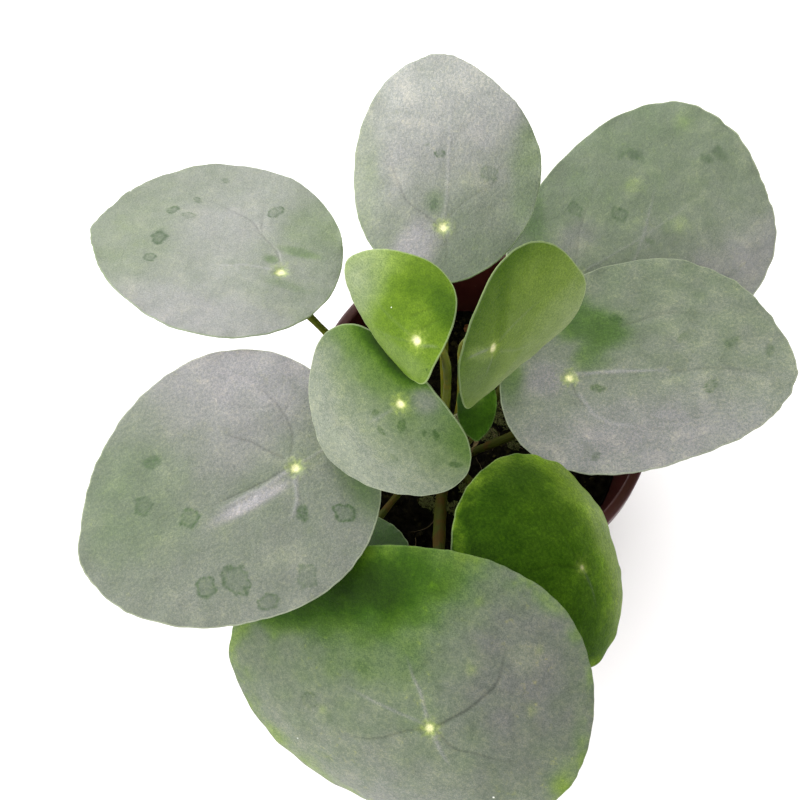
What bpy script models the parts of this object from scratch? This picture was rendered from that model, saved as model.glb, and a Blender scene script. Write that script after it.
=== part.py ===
"""Potted Chinese money plant (Pilea peperomioides).

Twelve peltate leaf blades on petioles that spiral out of a short corky stem, in a
round plastic nursery pot part-filled with potting soil.
Units are metres, +Z is up, and the origin is the middle of the pot's flat base.
"""

import math

import bpy
from mathutils import Matrix, Vector, noise

# ---------------------------------------------------------------- driving dimensions
GAP = 0.0003                # clearance between pieces that touch

POT_HEIGHT = 0.092          # base to top of rim
POT_RIM_R = 0.0600          # outside of the rolled rim
POT_MOUTH_R = 0.0560        # inside of the mouth
POT_WALL_TOP_R = 0.0575     # outside of the wall just under the rim
POT_BASE_R = 0.0420         # outside of the base
POT_WALL = 0.0015
POT_FLOOR = 0.0020
RIM_DEPTH = 0.0090          # height of the rim band
POT_STEPS = 40              # facets round the pot and the soil
DRAIN_COUNT = 6
DRAIN_R = 0.0040
DRAIN_RING_R = 0.0290

SOIL_EDGE_Z = 0.0570        # soil level against the wall
SOIL_MID_Z = 0.0620         # soil level around the stem
SOIL_ROUGH = 0.0009

STEM_X, STEM_Y = -0.0115, -0.0130
STEM_R = 0.0052
STEM_TOP_Z = 0.1000

BLADE_T = 0.0010            # blade thickness
PETIOLE_STEPS = 12
NECK = 0.0012               # straight end of a petiole, square to its blade

MM = 0.001

# Each blade is described in its own plan, measured from the navel where the stalk
# joins: "inset" is the share of the length that lies behind the navel, "egg" and
# "skew" move the widest part, "side" widens the left half against the right,
# "tip" draws out the point, and "lobes" are the slow second and third waves of the
# outline. "bulge" is one local swelling of the edge, such as the folded point at the
# base of a young blade: (outline angle, share of the radius, spread in degrees). "bend" gives how far, in radians over the full length or width, the blade
# bows down toward its tip, base, left and right; "curl" makes the cross bow stronger
# toward the tip. "heading" is the compass of the tip from +X, "pitch" tips it down
# and "roll" lifts the left side.
LEAVES = {
    "upper_left": dict(
        at=(-67.5, 25.0, 152.0), length=85.0, width=77.5, inset=0.22,
        heading=161.5, pitch=5.5, roll=22.0, egg=-0.08, skew=-0.05, side=-0.14,
        tip=0.02, bend=(0.10, 0.35, 0.20, -0.10), curl=0.0,
        lobes=(-0.005, -0.02, 0.0, -0.005), color=(0.42, 0.50, 0.37)),
    "top": dict(
        at=(-15.0, 30.5, 175.0), length=77.0, width=62.0, inset=0.24,
        heading=87.5, pitch=1.0, roll=0.5, egg=0.05, skew=-0.04, side=0.0,
        tip=0.025, bend=(-0.05, 0.35, 0.55, 0.30), curl=0.0,
        lobes=(0.025, 0.015, 0.0, 0.025), color=(0.40, 0.47, 0.36)),
    "upper_right": dict(
        at=(32.5, 39.0, 116.0), length=98.5, width=83.0, inset=0.20,
        heading=38.5, pitch=4.0, roll=6.0, egg=0.04, skew=0.03, side=-0.02,
        tip=0.005, bend=(-0.30, 0.35, 0.50, 0.35), curl=0.0,
        bulge=(148.0, 0.06, 12.0),
        lobes=(0.02, 0.0, -0.045, 0.025), color=(0.20, 0.27, 0.18)),
    "right": dict(
        at=(28.0, -2.0, 126.0), length=95.5, width=84.0, inset=0.24,
        heading=2.0, pitch=-6.0, roll=-9.5, egg=-0.04, skew=0.09, side=0.08,
        tip=0.01, bend=(0.05, 0.60, 0.15, -0.20), curl=0.0,
        lobes=(0.015, 0.03, 0.005, -0.03), color=(0.25, 0.31, 0.23)),
    "young_left": dict(
        at=(-24.0, -33.0, 237.5), length=39.0, width=34.0, inset=0.23,
        heading=128.0, pitch=5.5, roll=-38.5, egg=-0.08, skew=-0.03, side=-0.06,
        tip=0.02, bend=(0.05, 0.55, 2.35, 1.45), curl=0.05,
        bulge=(157.0, 0.18, 13.0),
        lobes=(-0.015, -0.07, 0.07, 0.025), color=(0.24, 0.38, 0.05)),
    "young_right": dict(
        at=(-0.5, -19.0, 196.0), length=55.0, width=48.5, inset=0.28,
        heading=48.0, pitch=19.0, roll=64.0, egg=0.07, skew=0.12, side=-0.03,
        tip=0.02, bend=(-0.30, 0.45, 0.45, 1.25), curl=0.15,
        bulge=(-140.0, 0.08, 12.0),
        lobes=(0.01, 0.02, 0.0, -0.04), color=(0.16, 0.29, 0.08)),
    "centre": dict(
        at=(-28.5, -41.5, 209.0), length=56.0, width=55.0, inset=0.24,
        heading=207.0, pitch=45.5, roll=-20.5, egg=-0.19, skew=0.03, side=-0.01,
        tip=0.02, bend=(0.70, 0.10, 1.25, 0.80), curl=-0.60,
        lobes=(-0.08, -0.01, 0.06, -0.01), color=(0.33, 0.44, 0.27)),
    "lower_left": dict(
        at=(-61.0, -45.5, 162.0), length=97.0, width=87.0, inset=0.26,
        heading=202.0, pitch=1.5, roll=-0.5, egg=-0.14, skew=0.0, side=-0.06,
        tip=0.015, bend=(0.35, 0.80, 0.35, 0.25), curl=0.0,
        lobes=(0.0, 0.015, 0.0, 0.01), color=(0.28, 0.33, 0.26)),
    "bottom": dict(
        at=(-19.5, -122.0, 138.0), length=120.0, width=103.5, inset=0.41,
        heading=162.5, pitch=3.0, roll=-33.0, egg=-0.08, skew=0.07, side=-0.11,
        tip=0.03, bend=(0.85, 1.00, 2.15, 0.25), curl=0.20,
        lobes=(0.005, -0.005, 0.005, -0.035), color=(0.18, 0.24, 0.15)),
    "lower_right": dict(
        at=(28.5, -73.5, 148.0), length=78.0, width=70.0, inset=0.58,
        heading=290.5, pitch=18.5, roll=-31.0, egg=-0.06, skew=0.02, side=-0.15,
        tip=0.02, bend=(1.60, 1.40, 2.00, 1.15), curl=0.35,
        lobes=(-0.005, 0.005, 0.0, 0.0), color=(0.07, 0.13, 0.03)),
    "small_inner": dict(
        at=(-4.5, -20.5, 158.0), length=21.0, width=13.0, inset=0.35,
        heading=268.0, pitch=-4.0, roll=16.0, egg=-0.10, skew=0.0, side=0.0,
        tip=0.04, bend=(0.40, 0.40, 0.60, 0.60), curl=0.0,
        lobes=(0.0, 0.0, 0.0, 0.0), color=(0.05, 0.10, 0.02)),
    "small_low": dict(
        at=(-45.5, -60.5, 118.0), length=31.0, width=29.0, inset=0.35,
        heading=15.0, pitch=5.0, roll=-8.0, egg=0.0, skew=0.0, side=0.0,
        tip=0.03, bend=(0.50, 0.40, 0.50, 0.40), curl=0.0,
        lobes=(0.0, 0.0, 0.0, 0.0), color=(0.16, 0.17, 0.15)),
}

# Each petiole leaves the stem at "height", rising at "rise" degrees toward its own
# blade (plus "turn"), runs "start" of the span in that direction, and meets the
# blade square after a last "finish" of the span.
PETIOLES = {
    "upper_left": dict(height=76, rise=50, turn=-4, start=0.50, finish=0.10, r=1.25),
    "top": dict(height=86, rise=55, turn=0, start=0.35, finish=0.30, r=1.5),
    "upper_right": dict(height=70, rise=25, turn=0, start=0.40, finish=0.20, r=1.5),
    "right": dict(height=73, rise=20, turn=0, start=0.45, finish=0.30, r=1.5),
    "young_left": dict(height=98.5, rise=84, turn=11, start=0.45, finish=0.18, r=1.2),
    "young_right": dict(height=97, rise=80, turn=95, start=0.45, finish=0.16, r=1.2),
    "centre": dict(height=91.5, rise=68, turn=-8, start=0.45, finish=0.25, r=1.3),
    "lower_left": dict(height=85, rise=45, turn=-2, start=0.40, finish=0.30, r=1.6),
    "bottom": dict(height=80, rise=35, turn=-5, start=0.40, finish=0.25, r=2.1),
    "lower_right": dict(height=78, rise=40, turn=0, start=0.40, finish=0.30, r=1.6),
    "small_inner": dict(height=98, rise=75, turn=-20, start=0.35, finish=0.30, r=0.8),
    "small_low": dict(height=75, rise=66, turn=-12, start=0.55, finish=0.20, r=1.2),
}


# ---------------------------------------------------------------- scene helpers
def clear_scene():
    for obj in list(bpy.data.objects):
        bpy.data.objects.remove(obj, do_unlink=True)


def material(name, color, roughness, metallic=0.0):
    mat = bpy.data.materials.new(name)
    mat.use_nodes = True
    shader = mat.node_tree.nodes["Principled BSDF"]
    shader.inputs["Base Color"].default_value = (*color, 1.0)
    shader.inputs["Roughness"].default_value = roughness
    shader.inputs["Metallic"].default_value = metallic
    return mat


def add_mesh(name, verts, faces, mat):
    mesh = bpy.data.meshes.new(name)
    mesh.from_pydata([tuple(v) for v in verts], [], faces)
    mesh.validate()
    mesh.materials.append(mat)
    mesh.shade_smooth()
    obj = bpy.data.objects.new(name, mesh)
    bpy.context.scene.collection.objects.link(obj)
    return obj


def lathe(name, profile, steps, mat, wobble=None):
    """Turns a closed profile of (radius, z) points, top axis point first and bottom
    axis point last, about the Z axis. A radius of zero makes a pole."""
    verts, rings = [], []
    for r, z in profile:
        if r == 0.0:
            rings.append([len(verts)])
            verts.append(Vector((0.0, 0.0, z)))
            continue
        ring = []
        for i in range(steps):
            a = 2.0 * math.pi * i / steps
            p = Vector((r * math.cos(a), r * math.sin(a), z))
            if wobble:
                p = wobble(p)
            ring.append(len(verts))
            verts.append(p)
        rings.append(ring)
    faces = []
    for upper, lower in zip(rings, rings[1:]):
        for i in range(steps):
            j = (i + 1) % steps
            if len(upper) == 1:
                faces.append((upper[0], lower[i], lower[j]))
            elif len(lower) == 1:
                faces.append((upper[j], upper[i], lower[0]))
            else:
                faces.append((upper[i], lower[i], lower[j], upper[j]))
    return add_mesh(name, verts, faces, mat)


# ---------------------------------------------------------------- leaf blades
def leaf_rotation(leaf):
    """Blade axes: +X runs to the tip, +Y to the left side, +Z out of the top face."""
    return (Matrix.Rotation(math.radians(leaf["heading"]), 3, "Z")
            @ Matrix.Rotation(math.radians(leaf["pitch"]), 3, "Y")
            @ Matrix.Rotation(math.radians(leaf["roll"]), 3, "X"))


def leaf_outline(leaf, t):
    """Plan of the blade edge at angle t (0 is the tip), measured from the navel."""
    t = (t + math.pi) % (2.0 * math.pi) - math.pi
    length, width = leaf["length"] * MM, leaf["width"] * MM
    left = 0.0 if abs(t) < 1e-9 else math.copysign(1.0, t)
    u = (length * (0.5 - leaf["inset"]) + 0.5 * length * math.cos(t)
         + leaf["tip"] * length * math.exp(-(t / 0.24) ** 2))
    v = 0.5 * width * math.sin(t) * (
        1.0 + (leaf["egg"] + leaf["skew"] * left) * math.cos(t))
    v *= 1.0 + leaf["side"] * math.copysign(1.0, v)
    a, b, c, d = leaf["lobes"]
    wave = (1.0 + a * math.cos(2 * t) + b * math.sin(2 * t)
            + c * math.cos(3 * t) + d * math.sin(3 * t))
    where, size, spread = leaf.get("bulge", (0.0, 0.0, 10.0))
    off = (t - math.radians(where) + math.pi) % (2.0 * math.pi) - math.pi
    wave *= 1.0 + size * math.exp(-(off / math.radians(spread)) ** 2)
    return u * wave, v * wave


def leaf_bow(leaf, u, v):
    """Bows the flat plan point (u, v) along the midrib and across it."""
    length, width = leaf["length"] * MM, leaf["width"] * MM
    to_tip, to_base, to_left, to_right = leaf["bend"]
    k = (to_tip if u > 0.0 else to_base) / length
    k = k if abs(k) > 1e-3 else 1e-3
    angle = k * abs(u)
    side_u = math.copysign(1.0, u)
    x = side_u * math.sin(angle) / k
    z = -(1.0 - math.cos(angle)) / k
    kc = (to_left if v > 0.0 else to_right) / width * (1.0 + leaf["curl"] * u / length)
    kc = kc if abs(kc) > 1e-3 else 1e-3
    turn = kc * abs(v)
    y = math.copysign(1.0, v) * math.sin(turn) / kc
    drop = (1.0 - math.cos(turn)) / kc
    return Vector((x - drop * side_u * math.sin(angle), y, z - drop * math.cos(angle)))


def make_leaf(name, leaf, around, shares, mat):
    """Polar sheet around the navel, thickened downward by BLADE_T."""
    rot, origin = leaf_rotation(leaf), Vector(leaf["at"]) * MM
    rings = len(shares)
    verts = [origin + rot @ leaf_bow(leaf, 1e-9, 1e-9)]
    for share in shares:
        for i in range(around):
            u, v = leaf_outline(leaf, 2.0 * math.pi * (i + 0.5) / around)
            verts.append(origin + rot @ leaf_bow(leaf, u * share, v * share))
    faces = [(0, 1 + i, 1 + (i + 1) % around) for i in range(around)]
    for k in range(rings - 1):
        a, b = 1 + k * around, 1 + (k + 1) * around
        for i in range(around):
            j = (i + 1) % around
            faces.append((a + i, b + i, b + j, a + j))
    obj = add_mesh(name, verts, faces, mat)
    thick = obj.modifiers.new("blade", "SOLIDIFY")
    thick.thickness = BLADE_T
    thick.offset = -1.0
    thick.use_even_offset = False
    thick.use_rim = True
    return obj


# ---------------------------------------------------------------- petioles
def petiole_path(leaf, stalk):
    """Smooth curve from the stem's side to just under the blade's navel."""
    radius = stalk["r"] * MM
    normal = leaf_rotation(leaf) @ Vector((0.0, 0.0, 1.0))
    end = Vector(leaf["at"]) * MM - normal * (BLADE_T + GAP + NECK)
    to_leaf = math.atan2(end.y - STEM_Y, end.x - STEM_X) + math.radians(stalk["turn"])
    rise = math.radians(stalk["rise"])
    out = Vector((math.cos(to_leaf), math.sin(to_leaf), 0.0))
    heading = out * math.cos(rise) + Vector((0.0, 0.0, math.sin(rise)))
    reach = STEM_R + 2.0 * GAP + 1.3 * radius * math.sin(rise)
    start = Vector((STEM_X, STEM_Y, stalk["height"] * MM)) + out * reach
    span = (end - start).length
    c1 = start + heading * span * stalk["start"]
    c2 = end - normal * span * stalk["finish"]
    points = []
    for i in range(PETIOLE_STEPS + 1):
        s = i / PETIOLE_STEPS
        s = s + 0.10 * math.sin(2.0 * math.pi * s) / (2.0 * math.pi)
        q = 1.0 - s
        points.append(start * q ** 3 + c1 * 3 * q * q * s + c2 * 3 * q * s * s
                      + end * s ** 3)
    points.append(end + normal * NECK)
    return points, radius


def make_petiole(name, leaf, stalk, mat):
    points, radius = petiole_path(leaf, stalk)
    curve = bpy.data.curves.new(name, "CURVE")
    curve.dimensions = "3D"
    curve.bevel_depth = radius
    curve.bevel_resolution = 2
    curve.use_fill_caps = True
    spline = curve.splines.new("POLY")
    spline.points.add(len(points) - 1)
    for i, p in enumerate(points):
        spline.points[i].co = (*p, 1.0)
        spline.points[i].radius = 1.0 + 0.30 * (1.0 - i / (len(points) - 1)) ** 6
    curve.materials.append(mat)
    obj = bpy.data.objects.new(name, curve)
    bpy.context.scene.collection.objects.link(obj)
    return obj


# ---------------------------------------------------------------- pot, soil, stem
def make_pot(mat):
    """Turned thin-walled pot with a rolled rim band, then drain holes in its floor."""
    h, w = POT_HEIGHT, POT_WALL
    band = h - RIM_DEPTH
    wall_in_base = POT_BASE_R - w
    profile = [
        (POT_MOUTH_R + 0.0006, h - 0.0006), (POT_MOUTH_R + 0.0015, h),
        (POT_RIM_R - 0.0012, h), (POT_RIM_R, h - 0.0012),
        (POT_RIM_R - 0.0003, band + 0.0008), (POT_RIM_R - 0.0010, band),
        (POT_WALL_TOP_R, band), (POT_BASE_R + 0.0010, 0.0022),
        (POT_BASE_R - 0.0008, 0.0), (0.0, 0.0)]
    inner = [(0.0, POT_FLOOR), (wall_in_base - 0.0006, POT_FLOOR),
             (wall_in_base + 0.0010, POT_FLOOR + 0.0016),
             (POT_MOUTH_R, band), (POT_MOUTH_R, h - 0.0018)]
    pot = lathe("pot", inner + profile, POT_STEPS, mat)
    for i in range(DRAIN_COUNT):
        a = 2.0 * math.pi * (i + 0.28) / DRAIN_COUNT
        bpy.ops.mesh.primitive_cylinder_add(
            vertices=16, radius=DRAIN_R, depth=0.02,
            location=(DRAIN_RING_R * math.cos(a), DRAIN_RING_R * math.sin(a), 0.0),
            rotation=(0.0, 0.0, 0.1))
        hole = bpy.context.object
        hole.name = "drain_cutter_%d" % i
        hole.hide_render = True
        hole.display_type = "WIRE"
        cut = pot.modifiers.new("drain_%d" % i, "BOOLEAN")
        cut.operation = "DIFFERENCE"
        cut.object = hole
        cut.solver = "EXACT"
    return pot


def inner_wall_radius(z):
    """Inside radius of the pot wall at height z."""
    low_z, low_r = POT_FLOOR + 0.0016, POT_BASE_R - POT_WALL + 0.0010
    top_z, top_r = POT_HEIGHT - RIM_DEPTH, POT_MOUTH_R
    share = (z - low_z) / (top_z - low_z)
    return low_r + (top_r - low_r) * share


def make_soil(mat):
    """Soil fills the pot with a clear gap to the wall, and its top is crumbly and
    slightly heaped round the stem."""
    def bumpy(p):
        if p.z < SOIL_EDGE_Z - 0.001:
            return p
        near = math.hypot(p.x - STEM_X, p.y - STEM_Y)
        calm = max(0.0, min(1.0, (near - 0.011) / 0.008))
        n = noise.noise(Vector((p.x * 180.0, p.y * 180.0, 3.7)))
        return Vector((p.x, p.y, p.z + SOIL_ROUGH * calm * n))

    flat = 0.024
    rim = inner_wall_radius(SOIL_EDGE_Z) - 2.0 * GAP
    top = [(0.0, SOIL_MID_Z)]
    for share in (0.3, 1.0):
        top.append((flat * share, SOIL_MID_Z))
    for share in (0.3, 0.6, 0.98):
        r = flat + (rim - flat) * share
        fall = 0.5 - 0.5 * math.cos(math.pi * share)
        top.append((r, SOIL_MID_Z + (SOIL_EDGE_Z - SOIL_MID_Z) * fall))
    low = POT_FLOOR + GAP
    side = [(rim, SOIL_EDGE_Z - 0.0015),
            (inner_wall_radius(0.006) - 2.0 * GAP, 0.006),
            (POT_BASE_R - POT_WALL - 0.0020, low), (0.0, low)]
    return lathe("soil", top + side, POT_STEPS, mat, bumpy)


def make_stem(mat):
    """Short upright corky stem ringed with old leaf scars, rounded at the crown."""
    low = SOIL_MID_Z + GAP
    profile = [(0.0, STEM_TOP_Z), (STEM_R * 0.55, STEM_TOP_Z - 0.0004),
               (STEM_R * 0.85, STEM_TOP_Z - 0.0018)]
    rings = 7
    for i in range(rings):
        z = STEM_TOP_Z - 0.0040 - (STEM_TOP_Z - 0.0040 - low - 0.002) * i / (rings - 1)
        profile.append((STEM_R * (1.0 if i % 2 == 0 else 0.93), z))
    profile += [(STEM_R, low), (0.0, low)]
    obj = lathe("stem", profile, 14, mat)
    obj.data.transform(Matrix.Translation((STEM_X, STEM_Y, 0.0)))
    return obj


def make_bud(mat):
    """The next leaf, still folded in its pointed sheath on the crown."""
    low = STEM_TOP_Z + GAP
    profile = [(0.0, low + 0.021), (0.0010, low + 0.0185), (0.0019, low + 0.0140),
               (0.0023, low + 0.0090), (0.0020, low + 0.0035), (0.0014, low),
               (0.0, low)]
    obj = lathe("bud", profile, 10, mat)
    lean = Matrix.Rotation(math.radians(6.0), 4, "Y")
    pivot = Matrix.Translation((0.0, 0.0, low))
    obj.data.transform(pivot @ lean @ pivot.inverted())
    obj.data.transform(Matrix.Translation((STEM_X, STEM_Y, 0.0003)))
    return obj


def make_stipule(name, angle, height, mat):
    """Thin papery scale standing beside the crown, bowed round it."""
    wide, tall, thick, steps = 0.0046, 0.0085, 0.0005, 4
    radius = STEM_R + 0.0036
    verts, rows = [], 4
    for k in range(rows + 1):
        s = k / rows
        half = 0.5 * wide * math.sqrt(max(0.0, 1.0 - s ** 2)) + 0.0002
        lean = 0.0016 * s * s
        for i in range(steps + 1):
            a = angle + (2.0 * i / steps - 1.0) * half / radius
            r = radius + lean
            verts.append(Vector((STEM_X + r * math.cos(a), STEM_Y + r * math.sin(a),
                                 height + tall * s)))
    row = steps + 1
    faces = []
    for k in range(rows):
        for i in range(steps):
            faces.append((k * row + i, k * row + i + 1,
                          (k + 1) * row + i + 1, (k + 1) * row + i))
    obj = add_mesh(name, verts, faces, mat)
    shell = obj.modifiers.new("scale", "SOLIDIFY")
    shell.thickness = thick
    shell.offset = 0.0
    return obj


# ---------------------------------------------------------------- build
clear_scene()

make_pot(material("pot_plastic", (0.060, 0.018, 0.012), 0.55))
make_soil(material("potting_soil", (0.012, 0.009, 0.006), 0.95))
make_stem(material("corky_stem", (0.075, 0.050, 0.025), 0.85))
make_bud(material("bud_sheath", (0.070, 0.075, 0.020), 0.60))
stipule_mat = material("papery_scale", (0.085, 0.060, 0.022), 0.75)
make_stipule("stipule_back", math.radians(118.0), 0.1015, stipule_mat)
make_stipule("stipule_right", math.radians(342.0), 0.0930, stipule_mat)

petiole_mat = material("petiole_green", (0.110, 0.110, 0.020), 0.50)
for key, leaf in LEAVES.items():
    large = leaf["length"] > 35.0
    blade = material("blade_" + key, leaf["color"], 0.42)
    if large:
        make_leaf("leaf_" + key, leaf, 22, (0.07, 0.34, 0.62, 0.84, 1.0), blade)
    else:
        make_leaf("leaf_" + key, leaf, 16, (0.20, 0.60, 1.0), blade)
    make_petiole("petiole_" + key, leaf, PETIOLES[key], petiole_mat)
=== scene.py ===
"""Looks of the potted Chinese money plant (Pilea peperomioides).

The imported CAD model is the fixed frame. Every visible piece here follows the same
design dimensions at a finer resolution: waxy blades with veins, navel, wavy margin
and underside, ribbed stalks, corky stem, crumbly soil with moss, moulded pot.
"""
import math

import bpy
import numpy as np
from mathutils import Matrix, Vector, noise


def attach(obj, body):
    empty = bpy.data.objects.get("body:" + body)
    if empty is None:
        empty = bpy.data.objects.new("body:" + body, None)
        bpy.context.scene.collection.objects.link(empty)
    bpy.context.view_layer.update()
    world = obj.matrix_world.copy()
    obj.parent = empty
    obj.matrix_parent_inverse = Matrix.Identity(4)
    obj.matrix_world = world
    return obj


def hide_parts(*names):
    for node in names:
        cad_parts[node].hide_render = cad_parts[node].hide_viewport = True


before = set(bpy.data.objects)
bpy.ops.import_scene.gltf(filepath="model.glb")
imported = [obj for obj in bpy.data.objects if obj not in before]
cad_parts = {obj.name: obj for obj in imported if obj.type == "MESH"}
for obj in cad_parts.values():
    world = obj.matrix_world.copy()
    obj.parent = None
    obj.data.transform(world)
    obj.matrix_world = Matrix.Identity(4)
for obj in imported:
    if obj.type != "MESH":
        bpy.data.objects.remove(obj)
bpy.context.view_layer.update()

MM = 0.001
scene = bpy.context.scene

# ================================================================ small helpers


def link(obj):
    scene.collection.objects.link(obj)
    return obj


def mesh_object(name, verts, faces, mat, smooth=True):
    mesh = bpy.data.meshes.new(name)
    mesh.from_pydata([tuple(v) for v in np.asarray(verts, float).tolist()], [], faces)
    mesh.update()
    mesh.materials.append(mat)
    if smooth:
        mesh.shade_smooth()
    return link(bpy.data.objects.new(name, mesh))


def set_float(obj, name, values):
    a = obj.data.attributes.new(name, "FLOAT", "POINT")
    a.data.foreach_set("value", np.asarray(values, np.float32).ravel())


def set_vector(obj, name, values):
    a = obj.data.attributes.new(name, "FLOAT_VECTOR", "POINT")
    a.data.foreach_set("vector", np.asarray(values, np.float32).ravel())


def smooth01(x):
    x = np.clip(x, 0.0, 1.0)
    return x * x * (3.0 - 2.0 * x)


def waves(rng, t, lo, hi, count):
    """Sum of a few seeded ripples round the closed angle t, about -1 to 1."""
    out = np.zeros_like(t)
    for _ in range(count):
        k = rng.integers(lo, hi + 1)
        out += rng.uniform(0.5, 1.0) * np.sin(k * t + rng.uniform(0, 2 * math.pi))
    return out / math.sqrt(count)


class Nodes:
    """Thin wrapper to lay out a node material in few lines."""

    def __init__(self, name):
        self.mat = bpy.data.materials.new(name)
        self.mat.use_nodes = True
        self.tree = self.mat.node_tree
        self.shader = self.tree.nodes["Principled BSDF"]

    def add(self, kind, **settings):
        node = self.tree.nodes.new(kind)
        for key, value in settings.items():
            setattr(node, key, value)
        return node

    def join(self, a, b):
        self.tree.links.new(a, b)

    def put(self, socket, value):
        if isinstance(value, bpy.types.NodeSocket):
            self.join(value, socket)
        else:
            socket.default_value = value

    def attribute(self, name, out="Vector"):
        node = self.add("ShaderNodeAttribute", attribute_name=name)
        node.attribute_type = "GEOMETRY"
        return node.outputs[out]

    def math(self, op, a, b=0.0, c=0.0, clamp=False):
        node = self.add("ShaderNodeMath", operation=op, use_clamp=clamp)
        self.put(node.inputs[0], a)
        self.put(node.inputs[1], b)
        self.put(node.inputs[2], c)
        return node.outputs[0]

    def vmul(self, v, s):
        node = self.add("ShaderNodeVectorMath", operation="MULTIPLY")
        self.put(node.inputs[0], v)
        self.put(node.inputs[1], s)
        return node.outputs[0]

    def vadd(self, v, s):
        node = self.add("ShaderNodeVectorMath", operation="ADD")
        self.put(node.inputs[0], v)
        self.put(node.inputs[1], s)
        return node.outputs[0]

    def noise(self, vector, scale, detail=2.0, rough=0.5, distort=0.0, out="Fac"):
        node = self.add("ShaderNodeTexNoise")
        self.put(node.inputs["Vector"], vector)
        node.inputs["Scale"].default_value = scale
        node.inputs["Detail"].default_value = detail
        node.inputs["Roughness"].default_value = rough
        node.inputs["Distortion"].default_value = distort
        return node.outputs[out]

    def voronoi(self, vector, scale, feature="F1", out="Distance", randomness=1.0):
        node = self.add("ShaderNodeTexVoronoi", feature=feature)
        self.put(node.inputs["Vector"], vector)
        node.inputs["Scale"].default_value = scale
        node.inputs["Randomness"].default_value = randomness
        return node.outputs[out]

    def ramp(self, value, lo, hi, a=0.0, b=1.0, smooth=True):
        node = self.add("ShaderNodeMapRange")
        node.interpolation_type = "SMOOTHSTEP" if smooth else "LINEAR"
        self.put(node.inputs["Value"], value)
        self.put(node.inputs["From Min"], lo)
        self.put(node.inputs["From Max"], hi)
        self.put(node.inputs["To Min"], a)
        self.put(node.inputs["To Max"], b)
        return node.outputs["Result"]

    def mix(self, factor, a, b, blend="MIX"):
        node = self.add("ShaderNodeMix", data_type="RGBA", blend_type=blend)
        node.clamp_factor = True
        self.put(node.inputs[0], factor)
        for socket, value in ((node.inputs[6], a), (node.inputs[7], b)):
            if not isinstance(value, bpy.types.NodeSocket) and len(value) == 3:
                value = (*value, 1.0)
            self.put(socket, value)
        return node.outputs[2]

    def bump(self, height, distance, strength=1.0, normal=None):
        node = self.add("ShaderNodeBump")
        node.inputs["Strength"].default_value = strength
        node.inputs["Distance"].default_value = distance
        self.put(node.inputs["Height"], height)
        if normal is not None:
            self.put(node.inputs["Normal"], normal)
        return node.outputs[0]

    def done(self, color, rough, normal=None, specular=0.5, ior=1.5):
        s = self.shader
        self.put(s.inputs["Base Color"], color)
        self.put(s.inputs["Roughness"], rough)
        s.inputs["Specular IOR Level"].default_value = specular
        s.inputs["IOR"].default_value = ior
        if normal is not None:
            self.join(normal, s.inputs["Normal"])
        return self.mat


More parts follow.
